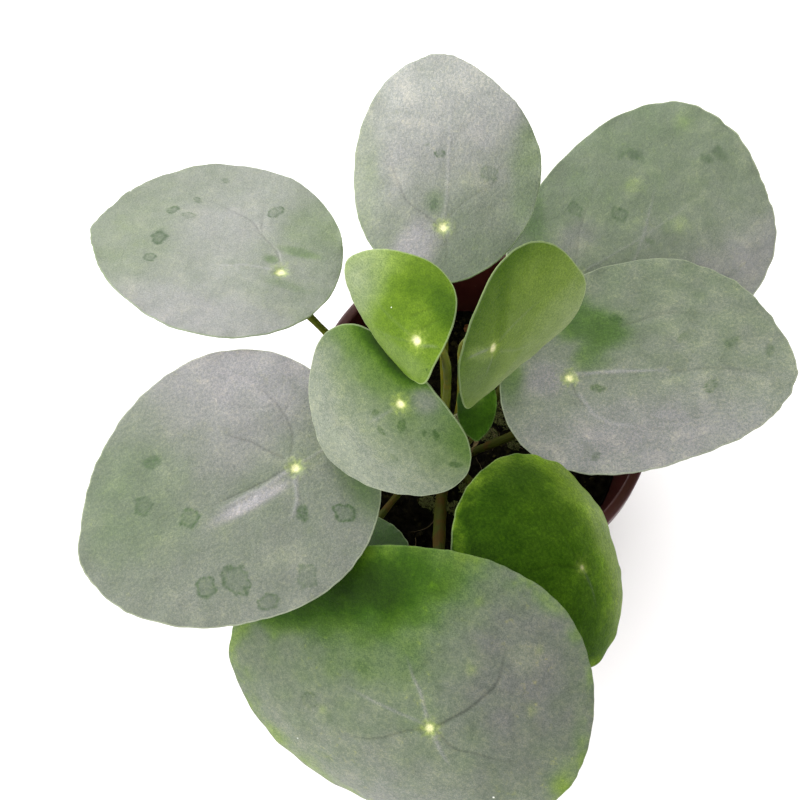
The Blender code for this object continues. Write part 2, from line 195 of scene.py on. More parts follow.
# ================================================================ leaf design
# Same blade dimensions as the CAD model, in millimetres and degrees.
LEAVES = {
    "upper_left": dict(
        at=(-67.5, 25.0, 152.0), length=85.0, width=77.5, inset=0.22,
        heading=161.5, pitch=5.5, roll=22.0, egg=-0.08, skew=-0.05, side=-0.14,
        tip=0.02, bend=(0.10, 0.35, 0.20, -0.10), curl=0.0,
        lobes=(-0.005, -0.02, 0.0, -0.005), seed=1),
    "top": dict(
        at=(-15.0, 30.5, 175.0), length=77.0, width=62.0, inset=0.24,
        heading=87.5, pitch=1.0, roll=0.5, egg=0.05, skew=-0.04, side=0.0,
        tip=0.025, bend=(-0.05, 0.35, 0.55, 0.30), curl=0.0,
        lobes=(0.025, 0.015, 0.0, 0.025), seed=2),
    "upper_right": dict(
        at=(32.5, 39.0, 116.0), length=98.5, width=83.0, inset=0.20,
        heading=38.5, pitch=4.0, roll=6.0, egg=0.04, skew=0.03, side=-0.02,
        tip=0.005, bend=(-0.30, 0.35, 0.50, 0.35), curl=0.0,
        bulge=(148.0, 0.06, 12.0),
        lobes=(0.02, 0.0, -0.045, 0.025), seed=3),
    "right": dict(
        at=(28.0, -2.0, 126.0), length=95.5, width=84.0, inset=0.24,
        heading=2.0, pitch=-6.0, roll=-9.5, egg=-0.04, skew=0.09, side=0.08,
        tip=0.01, bend=(0.05, 0.60, 0.15, -0.20), curl=0.0,
        lobes=(0.015, 0.03, 0.005, -0.03), seed=4),
    "young_left": dict(
        at=(-24.0, -33.0, 237.5), length=39.0, width=34.0, inset=0.23,
        heading=128.0, pitch=5.5, roll=-38.5, egg=-0.08, skew=-0.03, side=-0.06,
        tip=0.02, bend=(0.05, 0.55, 2.35, 1.45), curl=0.05,
        bulge=(157.0, 0.18, 13.0),
        lobes=(-0.015, -0.07, 0.07, 0.025), seed=5),
    "young_right": dict(
        at=(-0.5, -19.0, 196.0), length=55.0, width=48.5, inset=0.28,
        heading=48.0, pitch=19.0, roll=64.0, egg=0.07, skew=0.12, side=-0.03,
        tip=0.02, bend=(-0.30, 0.45, 0.45, 1.25), curl=0.15,
        bulge=(-140.0, 0.08, 12.0),
        lobes=(0.01, 0.02, 0.0, -0.04), seed=6),
    "centre": dict(
        at=(-28.5, -41.5, 209.0), length=56.0, width=55.0, inset=0.24,
        heading=207.0, pitch=45.5, roll=-20.5, egg=-0.19, skew=0.03, side=-0.01,
        tip=0.02, bend=(0.70, 0.10, 1.25, 0.80), curl=-0.60,
        lobes=(-0.08, -0.01, 0.06, -0.01), seed=7),
    "lower_left": dict(
        at=(-61.0, -45.5, 162.0), length=97.0, width=87.0, inset=0.26,
        heading=202.0, pitch=1.5, roll=-0.5, egg=-0.14, skew=0.0, side=-0.06,
        tip=0.015, bend=(0.35, 0.80, 0.35, 0.25), curl=0.0,
        lobes=(0.0, 0.015, 0.0, 0.01), seed=8),
    "bottom": dict(
        at=(-19.5, -122.0, 138.0), length=120.0, width=103.5, inset=0.41,
        heading=162.5, pitch=3.0, roll=-33.0, egg=-0.08, skew=0.07, side=-0.11,
        tip=0.03, bend=(0.85, 1.00, 2.15, 0.25), curl=0.20,
        lobes=(0.005, -0.005, 0.005, -0.035), seed=9),
    "lower_right": dict(
        at=(28.5, -73.5, 148.0), length=78.0, width=70.0, inset=0.58,
        heading=290.5, pitch=18.5, roll=-31.0, egg=-0.06, skew=0.02, side=-0.15,
        tip=0.02, bend=(1.60, 1.40, 2.00, 1.15), curl=0.35,
        lobes=(-0.005, 0.005, 0.0, 0.0), seed=10),
    "small_inner": dict(
        at=(-4.5, -20.5, 158.0), length=21.0, width=13.0, inset=0.35,
        heading=268.0, pitch=-4.0, roll=16.0, egg=-0.10, skew=0.0, side=0.0,
        tip=0.04, bend=(0.40, 0.40, 0.60, 0.60), curl=0.0,
        lobes=(0.0, 0.0, 0.0, 0.0), seed=11),
    "small_low": dict(
        at=(-45.5, -60.5, 118.0), length=31.0, width=29.0, inset=0.35,
        heading=15.0, pitch=5.0, roll=-8.0, egg=0.0, skew=0.0, side=0.0,
        tip=0.03, bend=(0.50, 0.40, 0.50, 0.40), curl=0.0,
        lobes=(0.0, 0.0, 0.0, 0.0), seed=12),
}

# Colours of the blades, linear, from the deepest shade (0) to the thickest wax or the
# palest green (6). A mature blade is waxy grey-green; its grey and lilac upper levels are
# partly wax and partly painted sheen, the reflection of the bright lilac-white light, and
# the lowest levels are painted shade. A young blade has little wax and stays clear green,
# and a shaded blade is painted clear green too.
WAX_AND_SHEEN = [(0.006, 0.020, 0.001), (0.020, 0.060, 0.004), (0.042, 0.085, 0.020), (0.075, 0.112, 0.052),
        (0.112, 0.140, 0.092), (0.162, 0.182, 0.152), (0.220, 0.245, 0.205)]
LILAC_SHEEN = [(0.010, 0.016, 0.008), (0.032, 0.042, 0.024), (0.058, 0.068, 0.048), (0.088, 0.097, 0.082),
         (0.125, 0.131, 0.122), (0.170, 0.172, 0.174), (0.225, 0.230, 0.230)]
CLEAR = [(0.006, 0.018, 0.001), (0.020, 0.052, 0.002), (0.046, 0.096, 0.004), (0.082, 0.146, 0.010),
         (0.125, 0.196, 0.030), (0.180, 0.250, 0.078), (0.255, 0.315, 0.150)]
CREAM = (0.54, 0.55, 0.29)
HALO = (0.24, 0.32, 0.06)
EDGE_GREEN, EDGE_PALE = (0.17, 0.26, 0.08), (0.38, 0.44, 0.27)

# What sits where on each upper face, in the blade's own plan (u to the tip, v to the
# left side, millimetres).
#   clear: 1 for a clear green blade, 0 for a waxy one, -1 for a lilac cast of painted sheen
#   rim:   how pale the very edge is; flush: yellow-green near the edge, painted light shining through the thin margin; limes: flecks
#   sweep: direction in degrees, then (position, level) along it; the levels carry painted sheen and painted shade as
#       well as wax
#   patches: u, v, half size, half size, turn, strength, level, clear; among them painted sheen and painted shadows of
#       neighbouring blades
#   veins: points, half width, strength; positive is a pale ridge with a painted highlight, negative a dark crease with
#       painted shade
#   marks: dried water spots u, v, radius, strength, and 1 for a ring or 0 for a stain
#   lime:  soft yellow-green spots u, v, radius
LOOKS = {
    "upper_left": dict(
        fine=True, clear=-0.12, gloss=0.45, mottle=0.35, rim=0.30, limes=0.05, speckle=0.18, vary=0.15, edge=EDGE_GREEN,
        # the sweep and the lilac patches: painted sheen where this blade faces the bright light
        sweep=(0, [(-20, 3.8), (22, 4.7), (64, 3.8)]),
        patches=[(20, 26, 38, 10, 0, 0.7, 5.0, -0.7), (26, -14, 15, 12, 20, 0.6, 5.1, -0.4), (52, 2, 14, 26, 0, 0.6, 3.8, 0.15), (-8, -26, 16, 14, 30, 0.8, 3.3, 0.2),
                 (-3, -11, 7.5, 2.0, 3, 0.65, 1.8, 0.2), (5, -4.5, 2.6, 2.0, 0, 0.7, 1.7, 0.2), (-3.5, 5, 7, 2.0, 0, 0.45, 2.4, 0.1)],
        veins=[([(2, 0), (12, 1), (17, 3), (27, 5)], 0.55, 0.5),
               ([(1, -3), (5, -9), (12, -14), (18, -19), (27, -22), (36, -24), (49, -19)], 0.35, -0.5),
               ([(1, -3), (4, -9), (11, -13)], 0.6, 0.35),
               ([(12, -14), (15, -23), (16, -32)], 0.35, -0.35), ([(22, -20), (24, -29)], 0.3, -0.25),
               ([(15, 2), (12, 6)], 0.6, 0.35), ([(20, 4), (17, 8)], 0.6, 0.25)],
        marks=[(44, -2, 2.7, 0.8, 1), (45, -16, 1.7, 0.65, 1), (39, -15, 1.7, 0.35, 1),
               (43, 8, 1.7, 0.5, 1), (34, -35, 1.5, 0.35, 0), (12, -26, 2.4, 0.5, 1),
               (39, -23, 1.2, 0.5, 1)],
        lime=[]),
    "top": dict(
        clear=-0.45, gloss=0.55, mottle=0.50, rim=0.25, limes=0.15, edge=EDGE_GREEN,
        # the pale end of the sweep and the lilac patch by the navel: painted sheen
        sweep=(22, [(-20, 2.3), (0, 3.0), (24, 4.7), (48, 6.0)]),
        patches=[(24, 27, 44, 8, 2, 0.7, 4.4, 0.4), (24, -27, 24, 6, -4, 0.7, 3.2, 0.35),
                 (-7, 9, 10, 7, -30, 0.8, 5.4, -1), (9, 3, 4, 3, 0, 0.5, 2.2, 0)],
        veins=[([(2, 0), (13, -1), (27, -1), (40, -1), (58, -1)], 0.6, 0.35),
               ([(1, 2), (5, 7), (10, 12), (17, 15), (24, 17), (38, 17)], 0.35, -0.6),
               ([(4, -2), (10, -8), (15, -15), (21, -18), (35, -18)], 0.35, -0.3),
               ([(28, -1), (36, -6), (44, -13)], 0.3, -0.3), ([(40, 0), (50, -9)], 0.3, -0.25),
               ([(-2, -1), (-9, -2), (-15, -1)], 0.35, -0.35),
               ([(14, 14), (16, 22)], 0.3, -0.3), ([(20, 16), (26, 23)], 0.3, -0.25)],
        marks=[(26, 2, 1.5, 0.5, 1), (8, 3, 1.8, 0.5, 0), (20, -14, 2.6, 0.25, 1), (29, 6, 1.0, 0.3, 0)],
        lime=[]),
    "upper_right": dict(
        clear=-0.22, gloss=0.45, mottle=0.55, rim=0.40, limes=0.20, speckle=0.22, vary=0.2, edge=EDGE_PALE,
        sweep=(90, [(-38, 4.7), (-22, 3.8), (-7, 3.3), (32, 2.7)]),
        # the lilac patches: painted sheen; the dark patch at (4, 30): painted shadow of the top blade
        patches=[(31, -3, 10, 4, 50, 0.5, 3.4, -0.6), (38, -32, 46, 12, 0, 0.8, 4.3, -0.9), (8, 11, 8, 6, 20, 0.6, 3.8, -0.9),
                 (4, 30, 16, 5, 60, 0.8, 1.2, 0)],
        veins=[([(3, 0), (15, -1), (27, -2), (49, -3), (66, -3)], 0.45, 0.30),
               ([(3, -3), (16, -8), (28, -2), (39, 6), (46, 11)], 0.55, 0.45),
               ([(3, 4), (14, 14), (28, 22), (44, 28)], 0.35, -0.30),
               ([(30, -4), (40, -13), (46, -22)], 0.3, -0.3), ([(2, -4), (14, -18), (30, -28)], 0.35, -0.25)],
        marks=[(46, 23, 3.0, 0.5, 0), (42, 26, 1.6, 0.4, 0), (64, 6, 2.2, 0.45, 0), (69, 5, 2.6, 0.45, 0),
               (16, 20, 2.6, 0.35, 1), (27, 9, 2.6, 0.4, 1), (29, -5, 1.6, 0.4, 0)],
        lime=[(37, 15, 3.0), (67, 22, 2.6), (41, -7, 2.6)]),
    "right": dict(
        clear=-0.25, gloss=0.12, mottle=0.55, rim=0.20, limes=0.15, edge=EDGE_PALE,
        # the pale right side of the sweep and the lilac patches: painted sheen; the dark patches left of the navel:
        # painted shade under the blades above
        sweep=(90, [(-36, 5.1), (-7, 4.2), (36, 3.5)]),
        patches=[(12, 18, 10, 8, -25, 0.85, 1.4, 0.3), (3, 23, 8, 9, 10, 0.8, 1.5, 0.3), (24, -24, 34, 14, 4, 0.7, 4.8, -1),
                 (7, 9, 6, 5, 40, 0.7, 1.9, 0.3), (9, 4, 9, 3.0, 15, 0.4, 2.0, 0), (-8, 0, 8, 7, 0, 0.85, 4.6, -1),
                 (-20, 6, 5, 16, 0, 0.7, 2.2, 0.35)],
        veins=[([(1, 1), (13, 1), (25, 1), (37, 0)], 0.75, 0.85),
               ([(34, 0), (48, 0), (60, -2), (72, -4)], 0.45, -0.45),
               ([(1, -3), (3, -9), (6, -14)], 0.45, -0.6),
               ([(3, -7), (7, -14), (12, -18), (20, -20), (33, -22)], 0.75, 0.55),
               ([(20, -20), (30, -22), (42, -22)], 0.4, -0.3),
               ([(18, 19), (25, 21), (32, 23), (40, 23), (49, 21), (56, 18)], 0.35, -0.55),
               ([(35, -4), (41, -11), (47, -18)], 0.35, -0.35), ([(22, 0), (26, -6)], 0.35, -0.35)],
        marks=[(9, -5, 2.4, 0.45, 0), (17, 22, 2.4, 0.5, 0), (55, 10, 3.0, 0.3, 0), (67, 6, 2.2, 0.3, 0),
               (46, -7, 2.2, 0.35, 1), (7, -31, 2.0, 0.4, 0), (39, 13, 2.6, 0.25, 0)],
        lime=[]),
    "young_left": dict(
        clear=1.0, gloss=0.05, mottle=0.22, rim=0.25, flush=0.1, speckle=0.22, limes=0.10, edge=EDGE_PALE, ripple=0.35,
        # the sweep, pale towards the tip: painted sheen
        sweep=(0, [(-10, 3.0), (0, 2.6), (13, 2.6), (21, 3.4), (29, 5.0)]),
        patches=[(1, -12.5, 8, 4.5, -15, 0.85, 1.1, 1), (14, -8, 13, 2.6, 25, 0.5, 1.9, 1),
                 (26, 4, 9, 13, 0, 0.8, 4.8, 0.35), (4, 10, 16, 5, 20, 0.7, 3.8, 0.6)],
        veins=[([(2, 0), (12, 1), (22, 1)], 0.5, 0.10), ([(-2, 0), (-7, -4)], 0.5, 0.35),
               ([(6, -4), (2, -12)], 0.4, -0.5), ([(1, -4), (-2, -11)], 0.4, -0.4), ([(2, 2), (10, 7), (18, 9)], 0.4, 0.10)],
        marks=[(-8, 4, 0.8, 0.5, 0)], lime=[]),
    "young_right": dict(
        clear=0.85, gloss=0.06, mottle=0.22, rim=0.25, limes=0.08, speckle=0.25, edge=EDGE_PALE, ripple=0.35,
        # the sweep, pale towards the tip and the right side: painted sheen
        sweep=(-60, [(-14, 2.0), (-3, 3.0), (16, 4.4), (28, 5.4)]),
        patches=[(8, 14, 16, 3.2, 65, 0.6, 1.9, 1), (26, 10, 16, 8, 0, 0.6, 3.6, 1), (-8, -6, 10, 10, 0, 0.5, 3.0, 0.4), (-6, 2, 6, 2.4, -40, 0.6, 4.6, 0.8)],
        veins=[([(-1, 1), (-8, 3), (-13, 4)], 0.5, 0.5), ([(-1, -2), (-4, -9)], 0.45, 0.4),
               ([(3, 1), (14, 3), (26, 4)], 0.5, 0.2), ([(3, -3), (12, -9), (22, -12)], 0.5, 0.2)],
        marks=[], lime=[]),
    "centre": dict(
        clear=0.12, gloss=0.03, mottle=0.25, rim=0.22, limes=0.0, vary=0.08, speckle=0.28, edge=EDGE_PALE, ripple=0.5,
        # the sweep, pale towards the tip, and the lilac patch: painted sheen; the dark band along the young left
        # blade's edge: painted shade
        sweep=(0, [(-9, 2.6), (3, 3.4), (14, 4.3), (32, 5.5)]),
        patches=[(-4, -18, 20, 9, 100, 0.65, 2.0, 0.7), (-9, -12, 18, 5.5, 104, 1.0, 0.0, 1), (-7.5, 4, 5, 5, 0, 0.6, 4.6, -0.7), (-4, 24, 12, 5, 70, 0.4, 1.8, 0.6)],
        veins=[([(2, 0), (9, -1), (16, -2)], 0.6, 0.35), ([(2, 3), (8, 12), (14, 20)], 0.4, -0.2)],
        marks=[(5, 5, 2.1, 0.40, 0), (12, 2, 1.5, 0.35, 0), (9, -3, 1.3, 0.30, 0), (1, 11, 1.2, 0.35, 0),
               (-1, 14, 1.6, 0.40, 0), (4, 25, 2.0, 0.42, 0), (16, 11, 1.4, 0.22, 0)],
        lime=[]),
    "lower_left": dict(
        fine=True, clear=-0.50, gloss=0.45, mottle=0.50, rim=0.30, limes=0.15, edge=EDGE_PALE,
        # the lilac patches at the right side and along the midrib: painted sheen and painted highlight; the dark patch
        # beside the centre blade: painted shadow
        sweep=(90, [(-50, 3.6), (0, 3.2), (38, 3.7)]),
        patches=[(0, -38, 30, 22, 0, 0.85, 5.2, -1), (12, -14, 18, 9, 20, 0.6, 4.2, -1),
                 (16, 5.0, 13, 2.3, 6, 0.9, 5.5, -1), (-19, 6, 7, 20, 0, 0.7, 1.8, 0),
                 (52, -12, 18, 22, 0, 0.55, 2.4, 0.0)],
        veins=[([(2, 0), (11, 2), (16, 2), (23, 3), (30, 3)], 0.95, 1.0),
               ([(2, -1), (11, 0.5), (23, 1), (31, 1)], 0.4, -0.7),
               ([(2, -4), (5, -8), (10, -14), (15, -18), (16, -25)], 0.40, -0.65),
               ([(0, -4), (-3, -11), (-3, -19), (0, -28), (6, -35)], 0.45, -0.5),
               ([(1, 3), (4, 11), (9, 16)], 0.75, 0.8),
               ([(-3, -1), (-9, -2), (-16, -3)], 0.5, 0.4),
               ([(14, 3), (14, 7)], 0.6, 0.5), ([(20, 3), (21, 8)], 0.6, 0.45),
               ([(-2, -17), (-8, -24)], 0.35, -0.4), ([(-2, -22), (6, -24), (12, -30)], 0.35, -0.3)],
        marks=[(41, -20, 3.0, 0.6, 0), (48, -8, 2.8, 0.4, 1), (36, 2, 3.0, 0.45, 1),
               (39, 24, 3.1, 0.45, 1), (30, 26, 4.2, 0.40, 1), (3, 14, 2.6, 0.6, 0), (-9, 19, 3.0, 0.5, 1),
               (23, 36, 2.8, 0.4, 1), (9, 33, 3.2, 0.25, 1)],
        lime=[]),
    "bottom": dict(
        clear=-0.15, gloss=0.05, vary=0.35, mottle=0.32, rim=0.10, flush=0.6, limes=0.5, edge=EDGE_GREEN,
        # the sweep, pale towards the left side, and the lilac patch: painted sheen; the dark patches under the
        # lower-left blade: painted shade; the flush: painted light through the margin
        sweep=(90, [(-50, 3.2), (0, 3.7), (38, 4.8)]),
        patches=[(20, -18, 24, 9, 20, 0.5, 2.3, 0.15), (40, -37, 42, 18, 16, 1.0, 0.35, 0.8), (60, -20, 14, 8, 16, 0.8, 0.6, 0.7),
                 (-26, -22, 26, 34, 20, 0.85, 3.3, -1),
                 (44, 30, 26, 5, -30, 0.5, 4.4, 0.8), (-46, 8, 6, 10, 0, 0.5, 3.8, 0.9)],
        veins=[([(-2, -1), (-9, -8), (-13, -13), (-17, -19), (-17, -27), (-16, -36)], 0.50, -0.9),
               ([(1, -2), (5, -10), (9, -15), (14, -22)], 0.60, 0.7),
               ([(2, 1), (6, 3), (15, 9), (24, 12), (34, 12)], 0.45, -0.6),
               ([(2, -1), (11, -2), (22, -3), (32, -5)], 0.55, 0.5),
               ([(-2, 0), (-9, 4), (-16, 4), (-26, 4), (-36, 1)], 0.45, -0.6),
               ([(-2, 2), (-6, 7), (-10, 12)], 0.7, 0.6), ([(-14, -16), (-20, -18), (-26, -17)], 0.35, -0.45),
               ([(9, -15), (4, -24)], 0.4, -0.35), ([(-17, -24), (-24, -30)], 0.4, -0.35)],
        marks=[(32, 8, 2.2, 0.14, 0), (40, 5, 2.6, 0.20, 1), (26, -12, 2.4, 0.14, 0)],
        lime=[(37, -31, 1.3), (10, -44, 1.3), (58, -10, 1.4), (35, 6, 1.5), (-8, -22, 1.5), (-5, -43, 1.4),
              (-29, -14, 1.6), (-27, -33, 1.5)]),
    "lower_right": dict(
        # the flush: painted light glowing through the thin margin
        clear=0.85, gloss=0.02, mottle=0.80, rim=0.15, flush=1.0, limes=0.7, speckle=0.45, edge=EDGE_PALE, halo=0.25, navel=1.25, navel_dull=0.45,
        sweep=(90, [(-34, 0.5), (-20, 1.0), (0, 1.3), (6, 1.7), (11, 2.9), (16, 3.9)]),
        patches=[(-44, -6, 6, 22, 0, 0.7, 2.0, 1), (-30, 12, 16, 4, 20, 0.4, 2.9, 1)],
        veins=[([(-1, -3), (-4, -10), (-5, -17), (-7, -24)], 0.55, -0.6),
               ([(-2, -1), (-13, -2), (-26, -1)], 0.45, -0.35), ([(1, 0), (7, 1), (16, 2)], 0.5, 0.3)],
        marks=[], lime=[(0, 9, 2.6), (-17, 13, 2.6), (-39, 11, 2.4), (14, 9, 2.4)]),
    "small_inner": dict(
        clear=0.6, gloss=0.02, rim=0.10, mottle=0.3, edge=EDGE_GREEN, halo=0.1, navel=0.4, navel_dull=0.8,
        sweep=(90, [(-6, 0.2), (6, 0.9)]), patches=[],
        veins=[([(0, 0), (6, 0), (12, 0)], 0.35, -0.3)], marks=[], lime=[]),
    "small_low": dict(
        clear=0.0, gloss=0.3, rim=0.20, mottle=0.5, edge=EDGE_PALE, halo=0.3, navel=0.8,
        sweep=(90, [(-14, 1.2), (2, 0.8), (13, 2.4)]), patches=[],
        veins=[([(0, 0), (9, 0), (18, 0)], 0.4, 0.4), ([(0, 0), (5, 6), (9, 10)], 0.4, -0.3)],
        marks=[(6, 5, 1.5, 0.4, 0)], lime=[]),
}


# Venation of every underside: a midrib, two forward laterals, two side ribs and
# three short ribs behind the navel. (start angle deg, turn deg, length as a share of
# the blade length, strength, half width mm)
RIBS = [
    (0.0, 0.0, 0.74, 1.00, 0.80),
    (36.0, -30.0, 0.62, 0.70, 0.70), (-36.0, 30.0, 0.62, 0.70, 0.70),
    (78.0, -46.0, 0.58, 0.60, 0.70), (-78.0, 46.0, 0.58, 0.60, 0.70),
    (124.0, -40.0, 0.34, 0.40, 0.65), (-124.0, 40.0, 0.34, 0.40, 0.65),
    (178.0, 0.0, 0.20, 0.35, 0.65),
]

PETIOLES = {
    "upper_left": dict(height=76, rise=50, turn=-4, start=0.50, finish=0.10, r=1.25),
    "top": dict(height=86, rise=55, turn=0, start=0.35, finish=0.30, r=1.5),
    "upper_right": dict(height=70, rise=25, turn=0, start=0.40, finish=0.20, r=1.5),
    "right": dict(height=73, rise=20, turn=0, start=0.45, finish=0.30, r=1.5),
    "young_left": dict(height=98.5, rise=84, turn=11, start=0.45, finish=0.18, r=1.2),
    "young_right": dict(height=97, rise=80, turn=95, start=0.45, finish=0.16, r=1.2),
    "centre": dict(height=91.5, rise=68, turn=-8, start=0.45, finish=0.25, r=1.3),
    "lower_left": dict(height=85, rise=45, turn=-2, start=0.40, finish=0.30, r=1.6),
    "bottom": dict(height=80, rise=35, turn=-5, start=0.40, finish=0.25, r=2.1),
    "lower_right": dict(height=78, rise=40, turn=0, start=0.40, finish=0.30, r=1.6),
    "small_inner": dict(height=98, rise=75, turn=-20, start=0.35, finish=0.30, r=0.8),
    "small_low": dict(height=75, rise=66, turn=-12, start=0.55, finish=0.20, r=1.2),
}

STEM_X, STEM_Y, STEM_R, STEM_TOP = -0.0115, -0.0130, 0.0052, 0.1000
POT_H, POT_RIM_R, POT_MOUTH_R, POT_BASE_R = 0.092, 0.0600, 0.0560, 0.0420
POT_WALL_TOP_R, POT_WALL, POT_FLOOR, RIM_DEPTH = 0.0575, 0.0015, 0.0020, 0.0090
SOIL_EDGE, SOIL_MID = 0.0570, 0.0620


# ================================================================ leaf geometry
def leaf_matrix(leaf):
    """Blade axes: +X runs to the tip, +Y to the left side, +Z out of the top face."""
    m = (Matrix.Rotation(math.radians(leaf["heading"]), 3, "Z")
         @ Matrix.Rotation(math.radians(leaf["pitch"]), 3, "Y")
         @ Matrix.Rotation(math.radians(leaf["roll"]), 3, "X"))
    return np.array(m)


def leaf_outline(leaf, t):
    tt = (t + math.pi) % (2.0 * math.pi) - math.pi
    length, width = leaf["length"], leaf["width"]
    u = (length * (0.5 - leaf["inset"]) + 0.5 * length * np.cos(tt)
         + leaf["tip"] * length * np.exp(-(tt / 0.24) ** 2))
    v = 0.5 * width * np.sin(tt) * (
        1.0 + (leaf["egg"] + leaf["skew"] * np.sign(tt)) * np.cos(tt))
    v = v * (1.0 + leaf["side"] * np.sign(v))
    a, b, c, d = leaf["lobes"]
    wave = (1.0 + a * np.cos(2 * tt) + b * np.sin(2 * tt)
            + c * np.cos(3 * tt) + d * np.sin(3 * tt))
    where, size, spread = leaf.get("bulge", (0.0, 0.0, 10.0))
    off = (tt - math.radians(where) + math.pi) % (2.0 * math.pi) - math.pi
    wave = wave * (1.0 + size * np.exp(-(off / math.radians(spread)) ** 2))
    return u * wave, v * wave


def leaf_bow(leaf, u, v):
    """Bowed position in the blade's axes of plan point (u, v), all in millimetres."""
    length, width = leaf["length"], leaf["width"]
    to_tip, to_base, to_left, to_right = leaf["bend"]
    k = np.where(u > 0, to_tip, to_base) / length
    k = np.where(np.abs(k) > 1e-6, k, 1e-6)
    angle = k * np.abs(u)
    su = np.where(u >= 0, 1.0, -1.0)
    x = su * np.sin(angle) / k
    z = -(1.0 - np.cos(angle)) / k
    kc = np.where(v > 0, to_left, to_right) / width * (1.0 + leaf["curl"] * u / length)
    kc = np.where(np.abs(kc) > 1e-6, kc, 1e-6)
    turn = kc * np.abs(v)
    y = np.where(v >= 0, 1.0, -1.0) * np.sin(turn) / kc
    drop = (1.0 - np.cos(turn)) / kc
    return np.stack([x - drop * su * np.sin(angle), y, z - drop * np.cos(angle)], -1)


def rib_paths(leaf):
    """Plan polylines of the underside's ribs: [(points, strength, half width)]."""
    rng = np.random.default_rng(100 + leaf["seed"])
    out = []
    for start, turn, share, strength, half in RIBS:
        start = start + rng.uniform(-6, 6)
        turn = turn * rng.uniform(0.8, 1.2)
        reach = share * leaf["length"]
        s = np.linspace(0.0, 1.0, 32)
        angle = np.radians(start + turn * s * s)
        step = reach / 31.0
        x = np.concatenate([[0.0], np.cumsum(np.cos(angle[1:]) * step)])
        y = np.concatenate([[0.0], np.cumsum(np.sin(angle[1:]) * step)])
        out.append((np.stack([x, y], -1), strength, half))
    return out


def vein_curve(points, rng):
    """Smooth, slightly wandering curve through a vein's plan points."""
    p = np.array(points, float)
    if len(p) == 2:
        p = np.array([p[0], (p[0] + p[1]) / 2 + rng.normal(0, 0.3, 2), p[1]])
    ends = np.concatenate([[2 * p[0] - p[1]], p, [2 * p[-1] - p[-2]]])
    out = []
    for i in range(1, len(ends) - 2):
        a, b, c, d = ends[i - 1:i + 3]
        for s in np.linspace(0.0, 1.0, 8, endpoint=False):
            out.append(0.5 * (2 * b + (c - a) * s + (2 * a - 5 * b + 4 * c - d) * s ** 2
                              + (3 * b - a - 3 * c + d) * s ** 3))
    out.append(p[-1])
    out = np.array(out)
    wander = np.cumsum(rng.normal(0, 0.06, out.shape), axis=0)
    return out + wander - np.linspace(0, 1, len(out))[:, None] * wander[-1]


def near_path(u, v, path):
    """Distance in mm from each plan point to a polyline, and the share along it."""
    best = np.full(u.shape, 1e9)
    where = np.zeros(u.shape)
    n = len(path) - 1
    for i in range(n):
        a, b = path[i], path[i + 1]
        d = b - a
        s = np.clip(((u - a[0]) * d[0] + (v - a[1]) * d[1]) / (d @ d), 0.0, 1.0)
        gap = np.hypot(u - a[0] - s * d[0], v - a[1] - s * d[1])
        hit = gap < best
        best = np.where(hit, gap, best)
        where = np.where(hit, (i + s) / n, where)
    return best, where


def slow_noise(u, v, scale, seed):
    """Smooth noise over the plan, about -1 to 1, with features of the given mm."""
    out = np.empty(u.shape)
    flat_u, flat_v, flat = u.ravel() / scale, v.ravel() / scale, out.ravel()
    for i in range(len(flat)):
        flat[i] = noise.noise(Vector((flat_u[i], flat_v[i], seed * 7.31)))
    return flat.reshape(u.shape)


def blend(color, amount, tint):
    f = np.clip(amount, 0.0, 1.0)[..., None]
    return color * (1.0 - f) + np.asarray(tint) * f


